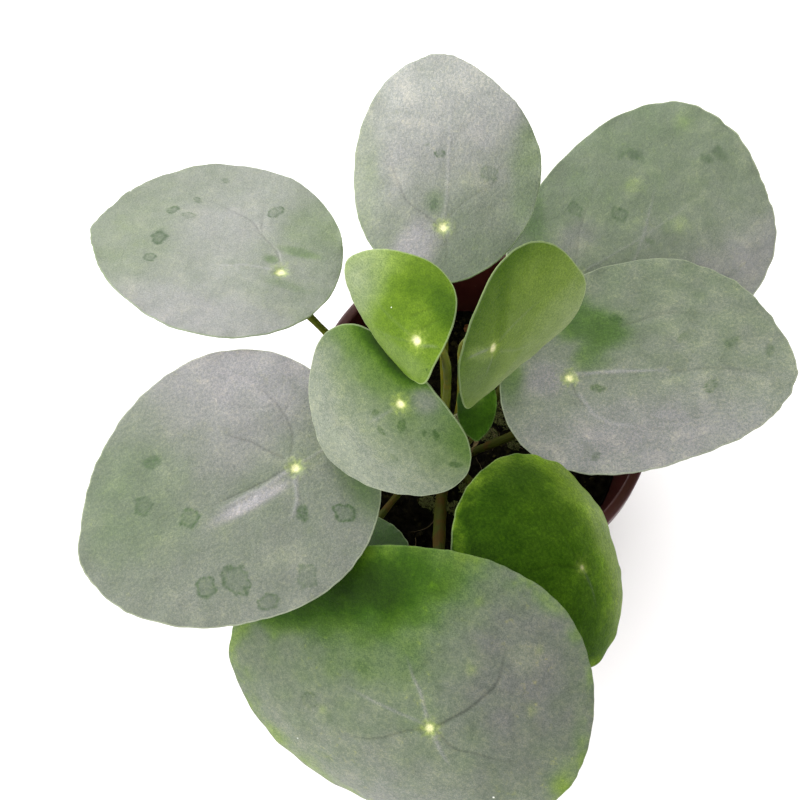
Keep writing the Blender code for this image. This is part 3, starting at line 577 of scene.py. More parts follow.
def paint(look, u, v, seed, pale, dark, share):
    """Colour of the upper face before its fine grain."""
    # Wax level across the blade; it also carries painted sheen where the blade faces the bright light and painted shade
    # where neighbouring blades shadow it.
    turn, stops = look["sweep"]
    n = 0.6 * slow_noise(u, v, 16.0, seed) + 0.4 * slow_noise(u, v, 6.0, seed + 40)
    where = u * math.cos(math.radians(turn)) + v * math.sin(math.radians(turn)) + 5.0 * n
    wax_and_painted_light = np.interp(where, [p for p, _ in stops], [w for _, w in stops])
    clear = np.full(u.shape, float(look["clear"]))
    for pu, pv, ru, rv, angle, strength, level, clearness in look["patches"]:
        ca, sa = math.cos(math.radians(angle)), math.sin(math.radians(angle))
        du, dv = u - pu, v - pv
        a, b = (du * ca + dv * sa) / ru, (-du * sa + dv * ca) / rv
        f = strength * np.exp(-np.abs((a * a + b * b) * (1.0 + 0.6 * n)) ** 1.7)
        wax_and_painted_light = wax_and_painted_light + (level - wax_and_painted_light) * f
        clear = clear + (clearness - clear) * f
    wax_and_painted_light = wax_and_painted_light + 0.24 * slow_noise(u, v, 5.0, seed + 10) + 0.12 * slow_noise(u, v, 2.2, seed + 12)
    # yellow-green flush at the edge: painted light glowing through the thin margin
    flush = look.get("flush", 0.0) * smooth01((share - 0.84) / 0.14) * smooth01(
        0.5 + 0.8 * slow_noise(u, v, 5.5, seed + 50) + 0.35 * slow_noise(u, v, 1.8, seed + 55))
    wax_and_painted_light = wax_and_painted_light + (3.6 - wax_and_painted_light) * 0.75 * flush
    clear = clear + (1.0 - clear) * flush
    clear = clear + look.get("vary", 0.30) * slow_noise(u, v, 7.0, seed + 15) * (1.0 - np.abs(look["clear"]))
    wax_and_painted_light = np.clip(wax_and_painted_light, 0.0, 6.0)
    steps = np.arange(7.0)
    wax_and_sheen = np.stack([np.interp(wax_and_painted_light, steps, [c[k] for c in WAX_AND_SHEEN]) for k in range(3)], -1)
    green = np.stack([np.interp(wax_and_painted_light, steps, [c[k] for c in CLEAR]) for k in range(3)], -1)
    lilac_sheen = np.stack([np.interp(wax_and_painted_light, steps, [c[k] for c in LILAC_SHEEN]) for k in range(3)], -1)
    cast = np.clip(-clear, 0.0, 1.0)[..., None]
    clear = np.clip(clear, 0.0, 1.0)[..., None]
    color = (wax_and_sheen * (1.0 - cast) + lilac_sheen * cast) * (1.0 - clear) + green * clear
    for mu, mv, mr in look["lime"]:
        d = np.hypot(u - mu, v - mv) / mr * (1.0 + 0.6 * slow_noise(u, v, 2.2, seed + 70))
        f = np.exp(-np.abs(d) ** 2.0)[..., None]
        color = color * (1.0 + f * np.array((0.22, 0.26, -0.10))) + f * np.array((0.004, 0.008, 0.0))
    # pale ridges: painted highlight on the lit side of the raised veins; dark creases: painted shade in the sunken
    # veins
    ridge = np.minimum(1.0, color.mean(-1, keepdims=True) * 1.6 + 0.035)
    f = np.clip(pale, 0.0, 1.0)[..., None] * 0.55
    color = color * (1.0 - f) + ridge * np.array((1.0, 1.0, 1.03)) * f
    color = color * (1.0 - 0.42 * np.clip(dark, 0.0, 1.0))[..., None]
    for mu, mv, mr, strength, ring in look["marks"]:
        lean = 0.9 * mu + 1.7 * mv
        du = (u - mu) * math.cos(lean) + (v - mv) * math.sin(lean)
        dv = (v - mv) * math.cos(lean) - (u - mu) * math.sin(lean)
        d = np.hypot(du / 1.15, dv * (1.1 if ring else 1.5)) / mr
        d = d * (1.0 + 0.40 * slow_noise(u, v, 1.9, seed + 90) + 0.13 * slow_noise(u, v, 0.8, seed + 92))
        stain = 0.8 + 0.6 * slow_noise(u, v, 0.6, seed + 95)
        if ring:
            f = strength * (0.50 * smooth01((1.15 - d) / 0.3) * stain
                            + 0.80 * np.exp(-((d - 0.92) / 0.15) ** 2) * stain)
        else:
            f = 0.8 * strength * smooth01((1.25 - d) / 0.55) * stain
        color = blend(color, 1.9 * f, (0.016, 0.048, 0.006))
    r = np.hypot(u, v)
    rough = 1.0 + 0.50 * slow_noise(u, v, 1.1, seed + 30)
    color = blend(color, look.get("halo", 0.80) * np.exp(-(r * rough / 2.3) ** 2), HALO)
    core = smooth01((look.get("navel", 1.90) - r * (0.6 + 0.4 * rough)) / 1.5)
    navel = np.array(CREAM) * (1.0 - look.get("navel_dull", 0.0))
    return blend(color, core, navel)


def build_leaf(key, leaf, mat):
    """Closed blade: finely modelled upper face, rounded rim and ribbed underside."""
    big = leaf["length"] > 35.0
    fine = LOOKS[key].get("fine", False)
    around = 384 if fine else 256 if big else 128
    rings = 108 if fine else 84 if big else 40
    under = 26 if big else 16
    rng = np.random.default_rng(leaf["seed"])
    t = 2.0 * math.pi * (np.arange(around) + 0.5) / around
    eu, ev = leaf_outline(leaf, t)
    ripple = LOOKS[key].get("ripple", 1.0)
    edge = 1.0 + ripple * (0.0028 * waves(rng, t, 6, 13, 4)
                           + 0.0030 * waves(rng, t, 18, 34, 6)
                           + 0.0016 * waves(rng, t, 45, 80, 6))
    eu, ev = eu * edge, ev * edge
    lift = ripple * (0.30 * waves(rng, t, 5, 11, 4) + 0.20 * waves(rng, t, 16, 30, 5))
    reach = np.hypot(eu, ev)
    paths = rib_paths(leaf)
    look = LOOKS[key]
    flat_rot = leaf_matrix(leaf)
    origin = np.array(leaf["at"])

    def sheet(shares):
        share = shares[:, None]
        u, v = share * eu[None], share * ev[None]
        p = leaf_bow(leaf, u, v)
        du = leaf_bow(leaf, u + 0.02, v) - leaf_bow(leaf, u - 0.02, v)
        dv = leaf_bow(leaf, u, v + 0.02) - leaf_bow(leaf, u, v - 0.02)
        n = np.cross(du, dv)
        n /= np.linalg.norm(n, axis=-1, keepdims=True)
        return u, v, p, n

    top_shares = (np.arange(rings + 1) / rings) ** 1.3
    top_shares[0] = 1e-5
    u, v, p, n = sheet(top_shares)
    rib = np.zeros(u.shape)
    crease = np.zeros(u.shape)
    groove = np.zeros(u.shape)
    for points, half, strength in look["veins"]:
        gap, along = near_path(u, v, vein_curve(points, rng))
        fade = smooth01((1.0 - along) / 0.45) * abs(strength)
        line = fade * np.exp(-(gap / (half * (1.2 - 0.5 * along))) ** 2)
        if strength > 0:
            rib = np.maximum(rib, line)
        else:
            crease = np.maximum(crease, line)
        groove = np.maximum(groove, fade * np.exp(-(gap / (2.8 * half + 0.5)) ** 2))
    r = np.hypot(u, v)
    share_grid = np.repeat(top_shares[:, None], around, 1)
    height = (
        -0.45 * np.exp(-(r / 1.7) ** 2) + 0.16 * np.exp(-((r - 3.2) / 1.5) ** 2)
        - 0.22 * groove + 0.24 * rib - 0.14 * crease
        + lift[None] * share_grid ** 16
        + 0.38 * slow_noise(u, v, 13.0, leaf["seed"] + 20) * smooth01(r / 8.0)
        + 0.07 * slow_noise(u, v, 3.2, leaf["seed"] + 60) * smooth01(r / 4.0))
    top = p + n * height[..., None]
    color = paint(look, u, v, leaf["seed"], rib, crease, share_grid)
    thick_edge = 0.55

    under_shares = (np.arange(under + 1) / under) ** 1.1
    under_shares[0] = 1e-5
    uu, uv, up, un = sheet(under_shares)
    us = np.repeat(under_shares[:, None], around, 1)
    rib_under = np.zeros(uu.shape)
    for path, strength, half in paths:
        gap, along = near_path(uu, uv, path)
        fade = smooth01((1.0 - along) / 0.5)
        rib_under = np.maximum(rib_under, strength * fade * np.exp(-(gap / (1.6 * half)) ** 2))
    ur = np.hypot(uu, uv)
    thick = thick_edge + (0.95 - thick_edge) * (1.0 - us ** 5) + 0.22 * rib_under
    thick = thick + 0.25 * np.exp(-(ur / 2.6) ** 2)
    swell = (lift[None] * us ** 16
             + 0.38 * slow_noise(uu, uv, 13.0, leaf["seed"] + 20) * smooth01(ur / 8.0))
    low = up + un * (swell - thick)[..., None]

    outward = top[-1] - top[-2]
    outward /= np.linalg.norm(outward, axis=-1, keepdims=True)
    half = 0.5 * thick_edge
    mid = 0.5 * (top[-1] + low[-1])
    rim = []
    for a in (35.0, 90.0, 145.0):
        a = math.radians(a)
        rim.append(mid + outward * (half * math.sin(a)) * 0.9 + n[-1] * (half * math.cos(a)))

    rows = [top[k] for k in range(1, rings + 1)] + rim + [low[k] for k in range(under, 0, -1)]
    stack = np.concatenate([top[0].mean(0)[None], np.concatenate(rows), low[0].mean(0)[None]])
    world = (stack @ flat_rot.T + origin) * MM
    count = len(rows)
    faces = [(0, 1 + i, 1 + (i + 1) % around) for i in range(around)]
    for k in range(count - 1):
        a, b = 1 + k * around, 1 + (k + 1) * around
        faces += [(a + i, b + i, b + (i + 1) % around, a + (i + 1) % around) for i in range(around)]
    last, pole = 1 + (count - 1) * around, 1 + count * around
    faces += [(last + (i + 1) % around, last + i, pole) for i in range(around)]
    obj = mesh_object("blade_" + key, world, faces, mat)

    plan, margin, side, tint, ridge = [], [], [], [], []

    def add(pu, pv, m, s, c, g):
        plan.append(np.stack([pu, pv, np.full(pu.shape, leaf["seed"] * 50.0)], -1))
        margin.append(np.broadcast_to(m, pu.shape))
        side.append(np.full(pu.shape, s))
        tint.append(np.broadcast_to(c, (*pu.shape, 3)))
        ridge.append(np.broadcast_to(g, pu.shape))

    add(u[:1, 0], v[:1, 0], 50.0, 0.0, color[:1, 0], 0.0)
    for k in range(1, rings + 1):
        add(u[k], v[k], (1.0 - top_shares[k]) * reach, 0.0, color[k], rib[k])
    for m, s in ((-0.1, 0.0), (-0.3, 0.2), (-0.4, 0.8)):
        add(u[-1], v[-1], m, s, color[-1], 0.0)
    for k in range(under, 0, -1):
        add(uu[k], uv[k], (1.0 - under_shares[k]) * reach, 1.0, np.zeros(3), rib_under[k])
    add(uu[:1, 0], uv[:1, 0], 50.0, 1.0, np.zeros(3), 0.0)
    set_vector(obj, "plan", np.concatenate(plan))
    set_float(obj, "margin", np.concatenate(margin))
    set_float(obj, "side", np.concatenate(side))
    set_vector(obj, "tint", np.concatenate(tint))
    set_float(obj, "ridge", np.concatenate(ridge))
    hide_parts("leaf_" + key)
    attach(obj, "root")
    return obj


def leaf_material(key, leaf):
    look = LOOKS[key]
    m = Nodes("blade_" + key)
    plan = m.attribute("plan")
    tint = m.attribute("tint", "Color")
    margin = m.attribute("margin", "Fac")
    side = m.attribute("side", "Fac")
    ridge = m.attribute("ridge", "Fac")
    blotch = m.noise(plan, 0.10, 5.0, 0.62, 0.6)
    fleck = m.noise(plan, 0.42, 4.0, 0.6, 0.3)
    grain = m.noise(plan, 2.3, 2.0, 0.6)
    cells = m.voronoi(plan, 1.25)
    # cloudy light and dark areas, then smaller flecks, then the grain of the skin
    mottle = look["mottle"]
    light = m.ramp(blotch, 0.50, 0.72, 0.0, mottle)
    dark = m.ramp(blotch, 0.50, 0.30, 0.0, mottle * 0.8)
    color = m.mix(light, tint, m.mix(1.0, tint, (1.60, 1.50, 1.40), "MULTIPLY"))
    color = m.mix(dark, color, m.mix(1.0, color, (0.62, 0.68, 0.60), "MULTIPLY"))
    color = m.mix(m.ramp(fleck, 0.56, 0.74, 0.0, 0.45 * mottle), color,
                  m.mix(1.0, color, (1.75, 1.65, 1.25), "MULTIPLY"))
    color = m.mix(m.ramp(grain, 0.45, 0.70, 0.0, 0.45), color,
                  m.mix(1.0, color, (1.60, 1.50, 1.60), "MULTIPLY"))
    color = m.mix(m.ramp(grain, 0.50, 0.30, 0.0, 0.45), color,
                  m.mix(1.0, color, (0.50, 0.58, 0.50), "MULTIPLY"))
    speck = m.noise(plan, 0.95, 3.0, 0.6)
    color = m.mix(m.ramp(speck, 0.50, 0.62, 0.0, look.get("speckle", 0.32)), color,
                  m.mix(1.0, color, (1.55, 1.45, 1.20), "MULTIPLY"))
    color = m.mix(m.ramp(speck, 0.50, 0.38, 0.0, look.get("speckle", 0.32)), color,
                  m.mix(1.0, color, (0.52, 0.60, 0.55), "MULTIPLY"))
    # yellow-green flecks gathered in loose groups
    group = m.ramp(m.noise(plan, 0.055, 2.0), 0.50, 0.62)
    lime = m.ramp(m.noise(plan, 0.34, 3.0, 0.6), 0.58, 0.72, 0.0, look.get("limes", 0.0))
    color = m.mix(m.math("MULTIPLY", group, lime), color,
                  m.mix(1.0, color, (1.90, 1.75, 0.80), "MULTIPLY"))
    # faint net of the smallest veins
    net = m.add("ShaderNodeTexVoronoi", feature="DISTANCE_TO_EDGE")
    m.put(net.inputs["Vector"], m.vadd(plan, m.vmul(m.noise(plan, 0.30, 2.0), (3.0, 3.0, 0.0))))
    net.inputs["Scale"].default_value = 0.17
    thread = m.ramp(net.outputs["Distance"], 0.050, 0.0)
    color = m.mix(m.math("MULTIPLY", thread, 0.10), color,
                  m.mix(1.0, color, (0.50, 0.52, 0.55), "MULTIPLY"))
    # pale line along the margin
    wobble = m.math("MULTIPLY", m.noise(plan, 0.16, 2.0), 0.45)
    line = m.ramp(margin, m.math("ADD", wobble, 0.08), m.math("ADD", wobble, -0.04), 0.0,
                  look.get("rim", 0.3))
    color = m.mix(line, color, look["edge"])
    # dust and salt specks
    spots = m.add("ShaderNodeTexVoronoi", feature="F1")
    m.put(spots.inputs["Vector"], plan)
    spots.inputs["Scale"].default_value = 0.16
    rare = m.add("ShaderNodeSeparateColor")
    m.join(spots.outputs["Color"], rare.inputs[0])
    size = m.ramp(rare.outputs[0], 0.90, 1.0, 0.0, 0.055)
    speck = m.math("LESS_THAN", spots.outputs["Distance"], size)
    color = m.mix(m.math("MULTIPLY", speck, 0.75), color, (0.75, 0.78, 0.72))
    # underside: paler, matt, with raised ribs
    back = m.mix(m.ramp(m.noise(plan, 0.30, 4.0, 0.6), 0.35, 0.7), (0.17, 0.26, 0.085),
                 (0.24, 0.33, 0.13))
    back = m.mix(m.math("MULTIPLY", ridge, 0.6), back, (0.36, 0.42, 0.20))
    back = m.mix(m.ramp(grain, 0.4, 0.65, 0.0, 0.25), back, (0.15, 0.22, 0.08))
    color = m.mix(side, color, back)
    rough = m.ramp(fleck, 0.30, 0.75, 0.35, 0.48)
    rough = m.math("ADD", rough, m.math("MULTIPLY", side, 0.18))
    bump = m.bump(m.noise(plan, 1.15, 4.0, 0.65), 0.00017, 0.9)
    bump = m.bump(cells, 0.00005, 0.8, bump)
    bump = m.bump(m.math("MULTIPLY", thread, -1.0), 0.00003, 0.6, bump)
    return m.done(color, rough, bump, specular=look["gloss"], ior=1.5)


# ================================================================ petioles
def petiole_path(leaf, stalk, steps=72):
    radius = stalk["r"] * MM
    normal = Vector(leaf_matrix(leaf) @ np.array((0.0, 0.0, 1.0)))
    end = Vector(leaf["at"]) * MM - normal * 0.0025
    to_leaf = math.atan2(end.y - STEM_Y, end.x - STEM_X) + math.radians(stalk["turn"])
    rise = math.radians(stalk["rise"])
    out = Vector((math.cos(to_leaf), math.sin(to_leaf), 0.0))
    heading = out * math.cos(rise) + Vector((0.0, 0.0, math.sin(rise)))
    reach = STEM_R + 0.0006 + 1.3 * radius * math.sin(rise)
    start = Vector((STEM_X, STEM_Y, stalk["height"] * MM)) + out * reach
    span = (end - start).length
    c1 = start + heading * span * stalk["start"]
    c2 = end - normal * span * stalk["finish"]
    points = []
    for i in range(steps + 1):
        s = i / steps
        q = 1.0 - s
        points.append(start * q ** 3 + c1 * 3 * q * q * s + c2 * 3 * q * s * s + end * s ** 3)
    # root the stalk inside the stem's bark, and its neck in the underside of the blade
    inside = Vector((STEM_X, STEM_Y, 0.0)) + out * (STEM_R - 0.0012)
    points.insert(0, Vector((inside.x, inside.y, points[0].z - 0.0010)))
    points.append(end + normal * 0.0012)
    points.append(end + normal * 0.0019)
    return points, radius


def build_petiole(key, leaf, stalk, mat):
    """Smooth stalk with a swollen foot and a flared neck, slightly ribbed."""
    points, radius = petiole_path(leaf, stalk)
    pts = np.array(points)
    sides = 18
    step = np.linalg.norm(np.diff(pts, axis=0), axis=1)
    along = np.concatenate([[0.0], np.cumsum(step)])
    total = along[-1]
    tangent = np.gradient(pts, axis=0)
    tangent /= np.linalg.norm(tangent, axis=1, keepdims=True)
    a = np.cross(tangent[0], (0.3, 0.5, 0.2))
    a /= np.linalg.norm(a)
    rng = np.random.default_rng(300 + leaf["seed"])
    phase = rng.uniform(0, 2 * math.pi, 4)
    verts, tone = [], []
    for i, (p, tg) in enumerate(zip(pts, tangent)):
        a = a - tg * (a @ tg)
        a /= np.linalg.norm(a)
        b = np.cross(tg, a)
        from_foot, from_neck = along[i], total - along[i]
        swell = (1.0 + 0.38 * math.exp(-(from_foot / 0.0045) ** 2)
                 + 0.30 * math.exp(-(from_neck / 0.0016) ** 2)
                 + 0.05 * math.sin(along[i] * 210 + phase[0])
                 + 0.03 * math.sin(along[i] * 560 + phase[1]))
        for j in range(sides):
            th = 2.0 * math.pi * j / sides
            ribbed = 1.0 + 0.035 * math.cos(5 * th + phase[2]) + 0.02 * math.cos(3 * th + phase[3])
            q = p + (a * math.cos(th) + b * math.sin(th)) * radius * swell * ribbed
            verts.append(q)
            tone.append((along[i] / total, th, along[i] * 1000.0))
    n = len(pts)
    faces = []
    for i in range(n - 1):
        for j in range(sides):
            k = (j + 1) % sides
            faces.append((i * sides + j, i * sides + k, (i + 1) * sides + k, (i + 1) * sides + j))
    faces.append(tuple(range(sides - 1, -1, -1)))
    faces.append(tuple((n - 1) * sides + j for j in range(sides)))
    obj = mesh_object("stalk_" + key, verts, faces, mat)
    set_vector(obj, "stalk", tone)
    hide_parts("petiole_" + key)
    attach(obj, "root")
    return obj


def petiole_material(name, green, ochre, ochre_share):
    m = Nodes(name)
    where = m.attribute("stalk")
    split = m.add("ShaderNodeSeparateXYZ")
    m.join(where, split.inputs[0])
    streak_at = m.add("ShaderNodeCombineXYZ")
    m.put(streak_at.inputs[0], m.math("MULTIPLY", split.outputs[1], 1.6))
    m.put(streak_at.inputs[1], m.math("MULTIPLY", split.outputs[2], 0.05))
    streak = m.noise(streak_at.outputs[0], 2.4, 4.0, 0.6)
    coords = m.add("ShaderNodeTexCoord").outputs["Object"]
    grain = m.noise(coords, 2600.0, 3.0, 0.6)
    patch = m.noise(coords, 160.0, 3.0, 0.6)
    color = m.mix(m.ramp(patch, 0.62 - ochre_share, 0.80 - ochre_share), green, ochre)
    color = m.mix(m.ramp(streak, 0.45, 0.72, 0.0, 0.55), color,
                  m.mix(1.0, color, (1.45, 1.35, 1.0), "MULTIPLY"))
    color = m.mix(m.ramp(streak, 0.50, 0.28, 0.0, 0.5), color,
                  m.mix(1.0, color, (0.55, 0.60, 0.55), "MULTIPLY"))
    foot = m.ramp(split.outputs[0], 0.12, 0.0)
    color = m.mix(foot, color, (0.060, 0.040, 0.018))
    color = m.mix(m.ramp(grain, 0.5, 0.7, 0.0, 0.25), color,
                  m.mix(1.0, color, (1.5, 1.5, 1.5), "MULTIPLY"))
    bump = m.bump(streak, 0.00012, 0.8)
    bump = m.bump(grain, 0.00004, 0.6, bump)
    return m.done(color, m.ramp(patch, 0.3, 0.7, 0.45, 0.60), bump, specular=0.04)


# ================================================================ pot, soil, stem
def lathe_mesh(name, profile, steps, mat, wobble=None):
    """Turns (radius, z) points, pole to pole, about the Z axis."""
    verts, rings = [], []
    for r, z in profile:
        if r == 0.0:
            rings.append([len(verts)])
            verts.append(Vector((0.0, 0.0, z)))
            continue
        ring = []
        for i in range(steps):
            a = 2.0 * math.pi * i / steps
            p = Vector((r * math.cos(a), r * math.sin(a), z))
            if wobble:
                p = wobble(p, a)
            ring.append(len(verts))
            verts.append(p)
        rings.append(ring)
    faces = []
    for upper, lower in zip(rings, rings[1:]):
        for i in range(steps):
            j = (i + 1) % steps
            if len(upper) == 1:
                faces.append((upper[0], lower[i], lower[j]))
            elif len(lower) == 1:
                faces.append((upper[j], upper[i], lower[0]))
            else:
                faces.append((upper[i], lower[i], lower[j], upper[j]))
    return mesh_object(name, [tuple(v) for v in verts], faces, mat)


def arc(cx, cz, r, a0, a1, n):
    """n + 1 profile points on a small rounding, angles in degrees from +radius."""
    out = []
    for i in range(n + 1):
        a = math.radians(a0 + (a1 - a0) * i / n)
        out.append((cx + r * math.cos(a), cz + r * math.sin(a)))
    return out


def wall_radius(z, offset=0.0):
    low_z, low_r = POT_FLOOR + 0.0016, POT_BASE_R - POT_WALL + 0.0010
    share = (z - low_z) / (POT_H - RIM_DEPTH - low_z)
    return low_r + (POT_MOUTH_R - low_r) * share + offset


def build_pot():
    band = POT_H - RIM_DEPTH
    profile = [(0.0, POT_FLOOR), (0.012, POT_FLOOR), (0.024, POT_FLOOR), (0.034, POT_FLOOR),
               (POT_BASE_R - POT_WALL - 0.0016, POT_FLOOR)]
    profile += arc(POT_BASE_R - POT_WALL - 0.0016, POT_FLOOR + 0.0020, 0.0020, -80, -8, 5)
    for i in range(1, 12):
        z = 0.006 + (band - 0.006) * i / 12
        profile.append((wall_radius(z), z))
    profile += [(POT_MOUTH_R, band), (POT_MOUTH_R + 0.00005, band + 0.003), (POT_MOUTH_R + 0.0001, POT_H - 0.0018)]
    profile += arc(POT_MOUTH_R + 0.0012, POT_H - 0.0012, 0.0012, 180, 90, 6)[1:]
    profile += arc(POT_RIM_R - 0.0013, POT_H - 0.0013, 0.0013, 90, 0, 6)
    profile += [(POT_RIM_R - 0.0001, POT_H - 0.004), (POT_RIM_R - 0.0003, band + 0.0012)]
    profile += arc(POT_RIM_R - 0.0010, band + 0.0007, 0.0007, 0, -90, 4)
    profile += [(POT_WALL_TOP_R + 0.0006, band), (POT_WALL_TOP_R + 0.0002, band - 0.0004)]
    for i in range(1, 16):
        z = band - 0.0008 - (band - 0.0040) * i / 16
        share = (z - 0.0022) / (band - 0.0022)
        profile.append((POT_BASE_R + 0.0010 + (POT_WALL_TOP_R - POT_BASE_R - 0.0010) * share, z))
    profile += arc(POT_BASE_R - 0.0009, 0.0020, 0.0020, -5, -85, 5)
    profile += [(0.034, 0.0), (0.024, 0.0), (0.012, 0.0), (0.0, 0.0)]

    m = Nodes("pot_plastic")
    coords = m.add("ShaderNodeTexCoord").outputs["Object"]
    cloud = m.noise(coords, 26.0, 4.0, 0.55)
    fine = m.noise(coords, 900.0, 3.0, 0.6)
    scuff = m.noise(m.vmul(coords, (1.0, 1.0, 7.0)), 90.0, 5.0, 0.7)
    z = m.add("ShaderNodeSeparateXYZ")
    m.join(coords, z.inputs[0])
    # plastic darkened to near-black maroon: painted shade over the terracotta-brown colour
    color = m.mix(m.ramp(cloud, 0.35, 0.65), (0.034, 0.0048, 0.0036), (0.050, 0.0080, 0.0056))
    color = m.mix(m.ramp(scuff, 0.58, 0.78, 0.0, 0.35), color, (0.080, 0.026, 0.019))
    # darker towards the bottom of the pot, broken up by fine noise
    lower_wall_dark = m.math("MULTIPLY", m.ramp(z.outputs[2], 0.070, 0.055), m.ramp(fine, 0.40, 0.62, 0.2, 1.0))
    color = m.mix(m.math("MULTIPLY", lower_wall_dark, 0.35), color, (0.030, 0.019, 0.012))
    dust = m.ramp(m.noise(coords, 340.0, 4.0, 0.7), 0.66, 0.78, 0.0, 0.35)
    color = m.mix(dust, color, (0.20, 0.15, 0.115))
    bump = m.bump(m.noise(m.vmul(coords, (0.3, 0.3, 1.0)), 260.0, 2.0, 0.5), 0.00008, 0.5)
    bump = m.bump(fine, 0.00003, 0.6, bump)
    mat = m.done(color, m.ramp(cloud, 0.3, 0.7, 0.42, 0.56), bump, specular=0.3)

    def ribbed(p, a):
        # shallow moulded flutes on the lower wall, none on the rim band or floor
        r = math.hypot(p.x, p.y)
        outside = r > wall_radius(p.z, POT_WALL * 0.55) and 0.006 < p.z < POT_H - RIM_DEPTH - 0.004
        if not outside:
            return p
        fade = min(1.0, (p.z - 0.006) / 0.010, (POT_H - RIM_DEPTH - 0.004 - p.z) / 0.008)
        s = 1.0 - 0.0028 * fade * (0.5 + 0.5 * math.cos(48 * a)) ** 4
        return Vector((p.x * s, p.y * s, p.z))

    pot = lathe_mesh("pot_body", profile, 288, mat, ribbed)
    for i in range(6):
        a = 2.0 * math.pi * (i + 0.28) / 6
        bpy.ops.mesh.primitive_cylinder_add(
            vertices=40, radius=0.0040, depth=0.02,
            location=(0.029 * math.cos(a), 0.029 * math.sin(a), 0.0), rotation=(0, 0, 0.1))
        tool = bpy.context.object
        cut = pot.modifiers.new("drain", "BOOLEAN")
        cut.operation, cut.object, cut.solver = "DIFFERENCE", tool, "EXACT"
        bpy.context.view_layer.objects.active = pot
        bpy.ops.object.modifier_apply(modifier=cut.name)
        bpy.data.objects.remove(tool, do_unlink=True)
    pot.data.shade_smooth()
    pot.data.set_sharp_from_angle(angle=math.radians(38.0))
    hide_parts("pot")
    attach(pot, "root")
    return pot


def soil_height(x, y):
    r = math.hypot(x, y)
    rim = wall_radius(SOIL_EDGE) - 0.0006
    share = min(1.0, max(0.0, (r - 0.024) / (rim - 0.024)))
    z = SOIL_MID + (SOIL_EDGE - SOIL_MID) * (0.5 - 0.5 * math.cos(math.pi * share))
    p = Vector((x, y, 0.0))
    calm = min(1.0, max(0.15, (math.hypot(x - STEM_X, y - STEM_Y) - 0.006) / 0.010))
    lumps = noise.noise(p * 90.0) * 0.0011 + noise.noise(p * 260.0 + Vector((3, 1, 2))) * 0.0009
    cell = noise.voronoi(p * 420.0)[0][0]
    crumbs = (0.45 - cell) * 0.0016
    fine = noise.noise(p * 1500.0) * 0.00022
    return z + calm * (lumps + crumbs) + fine


def build_soil():
    rings, around = 120, 300
    rim = wall_radius(SOIL_EDGE) - 0.0004
    verts = [(0.0, 0.0, soil_height(0.0, 0.0))]
    for k in range(1, rings + 1):
        r = rim * (k / rings)
        for i in range(around):
            a = 2.0 * math.pi * i / around
            x, y = r * math.cos(a), r * math.sin(a)
            verts.append((x, y, soil_height(x, y)))
    side = [(wall_radius(0.050) - 0.0004, 0.050), (wall_radius(0.010) - 0.0005, 0.010),
            (POT_BASE_R - POT_WALL - 0.0024, POT_FLOOR + 0.0003)]
    for r, z in side:
        for i in range(around):
            a = 2.0 * math.pi * i / around
            verts.append((r * math.cos(a), r * math.sin(a), z))
    verts.append((0.0, 0.0, POT_FLOOR + 0.0003))
    faces = [(0, 1 + i, 1 + (i + 1) % around) for i in range(around)]
    for k in range(rings + 2):
        a, b = 1 + k * around, 1 + (k + 1) * around
        faces += [(a + i, b + i, b + (i + 1) % around, a + (i + 1) % around) for i in range(around)]
    a, pole = 1 + (rings + 2) * around, len(verts) - 1
    faces += [(a + (i + 1) % around, a + i, pole) for i in range(around)]

    m = Nodes("potting_soil")
    coords = m.add("ShaderNodeTexCoord").outputs["Object"]
    lump = m.noise(coords, 420.0, 5.0, 0.65)
    bit = m.voronoi(coords, 700.0)
    # near-black: the peat's dark brown darkened further as painted shade of the shaded pot
    color = m.mix(m.ramp(lump, 0.40, 0.66), (0.0022, 0.0018, 0.0010), (0.0100, 0.0082, 0.0036))
    color = m.mix(m.ramp(m.noise(coords, 210.0, 3.0, 0.6), 0.60, 0.72, 0.0, 0.8), color,
                  (0.026, 0.023, 0.007))
    color = m.mix(m.ramp(bit, 0.18, 0.05, 0.0, 0.5), color, (0.014, 0.011, 0.004))
    bump = m.bump(lump, 0.0006, 0.9)
    bump = m.bump(m.noise(coords, 2400.0, 3.0, 0.7), 0.00012, 0.8, bump)
    mat = m.done(color, m.ramp(lump, 0.3, 0.7, 0.98, 0.88), bump, specular=0.06)
    obj = mesh_object("soil_body", verts, faces, mat)
    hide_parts("soil")
    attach(obj, "root")
    return obj


def ico(level):
    """Unit sphere points and triangles, for crumbs."""
    import bmesh

    bm = bmesh.new()
    bmesh.ops.create_icosphere(bm, subdivisions=level, radius=1.0)
    bm.verts.ensure_lookup_table()
    pts = np.array([v.co[:] for v in bm.verts])
    tris = [tuple(v.index for v in f.verts) for f in bm.faces]
    bm.free()
    return pts, tris


def lumps_object(name, places, mat, rng, level=2, rough=0.35):
    """Irregular crumbs at [(x, y, size, tone, flat)] resting on the soil, one mesh."""
    pts, tris = ico(level)
    verts, faces, tones = [], [], []
    for x, y, size, tone, flat in places:
        seed = Vector(rng.uniform(-50, 50, 3))
        axes = np.array([rng.uniform(0.7, 1.3), rng.uniform(0.7, 1.2), flat * rng.uniform(0.8, 1.2)])
        turn = np.array(Matrix.Rotation(rng.uniform(0, 6.28), 3, Vector(rng.normal(size=3)).normalized()))
        z = soil_height(x, y) + size * 0.25 * flat
        base = len(verts)
        for p in pts:
            bump = 1.0 + rough * noise.noise(Vector(p) * 1.7 + seed) + 0.5 * rough * noise.noise(Vector(p) * 4.3 + seed)
            q = turn @ (p * axes * bump) * size
            verts.append((x + q[0], y + q[1], z + q[2]))
            tones.append(tone)
        faces += [tuple(base + i for i in t) for t in tris]
    obj = mesh_object(name, verts, faces, mat)
    set_float(obj, "tone", tones)
    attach(obj, "root")
    return obj


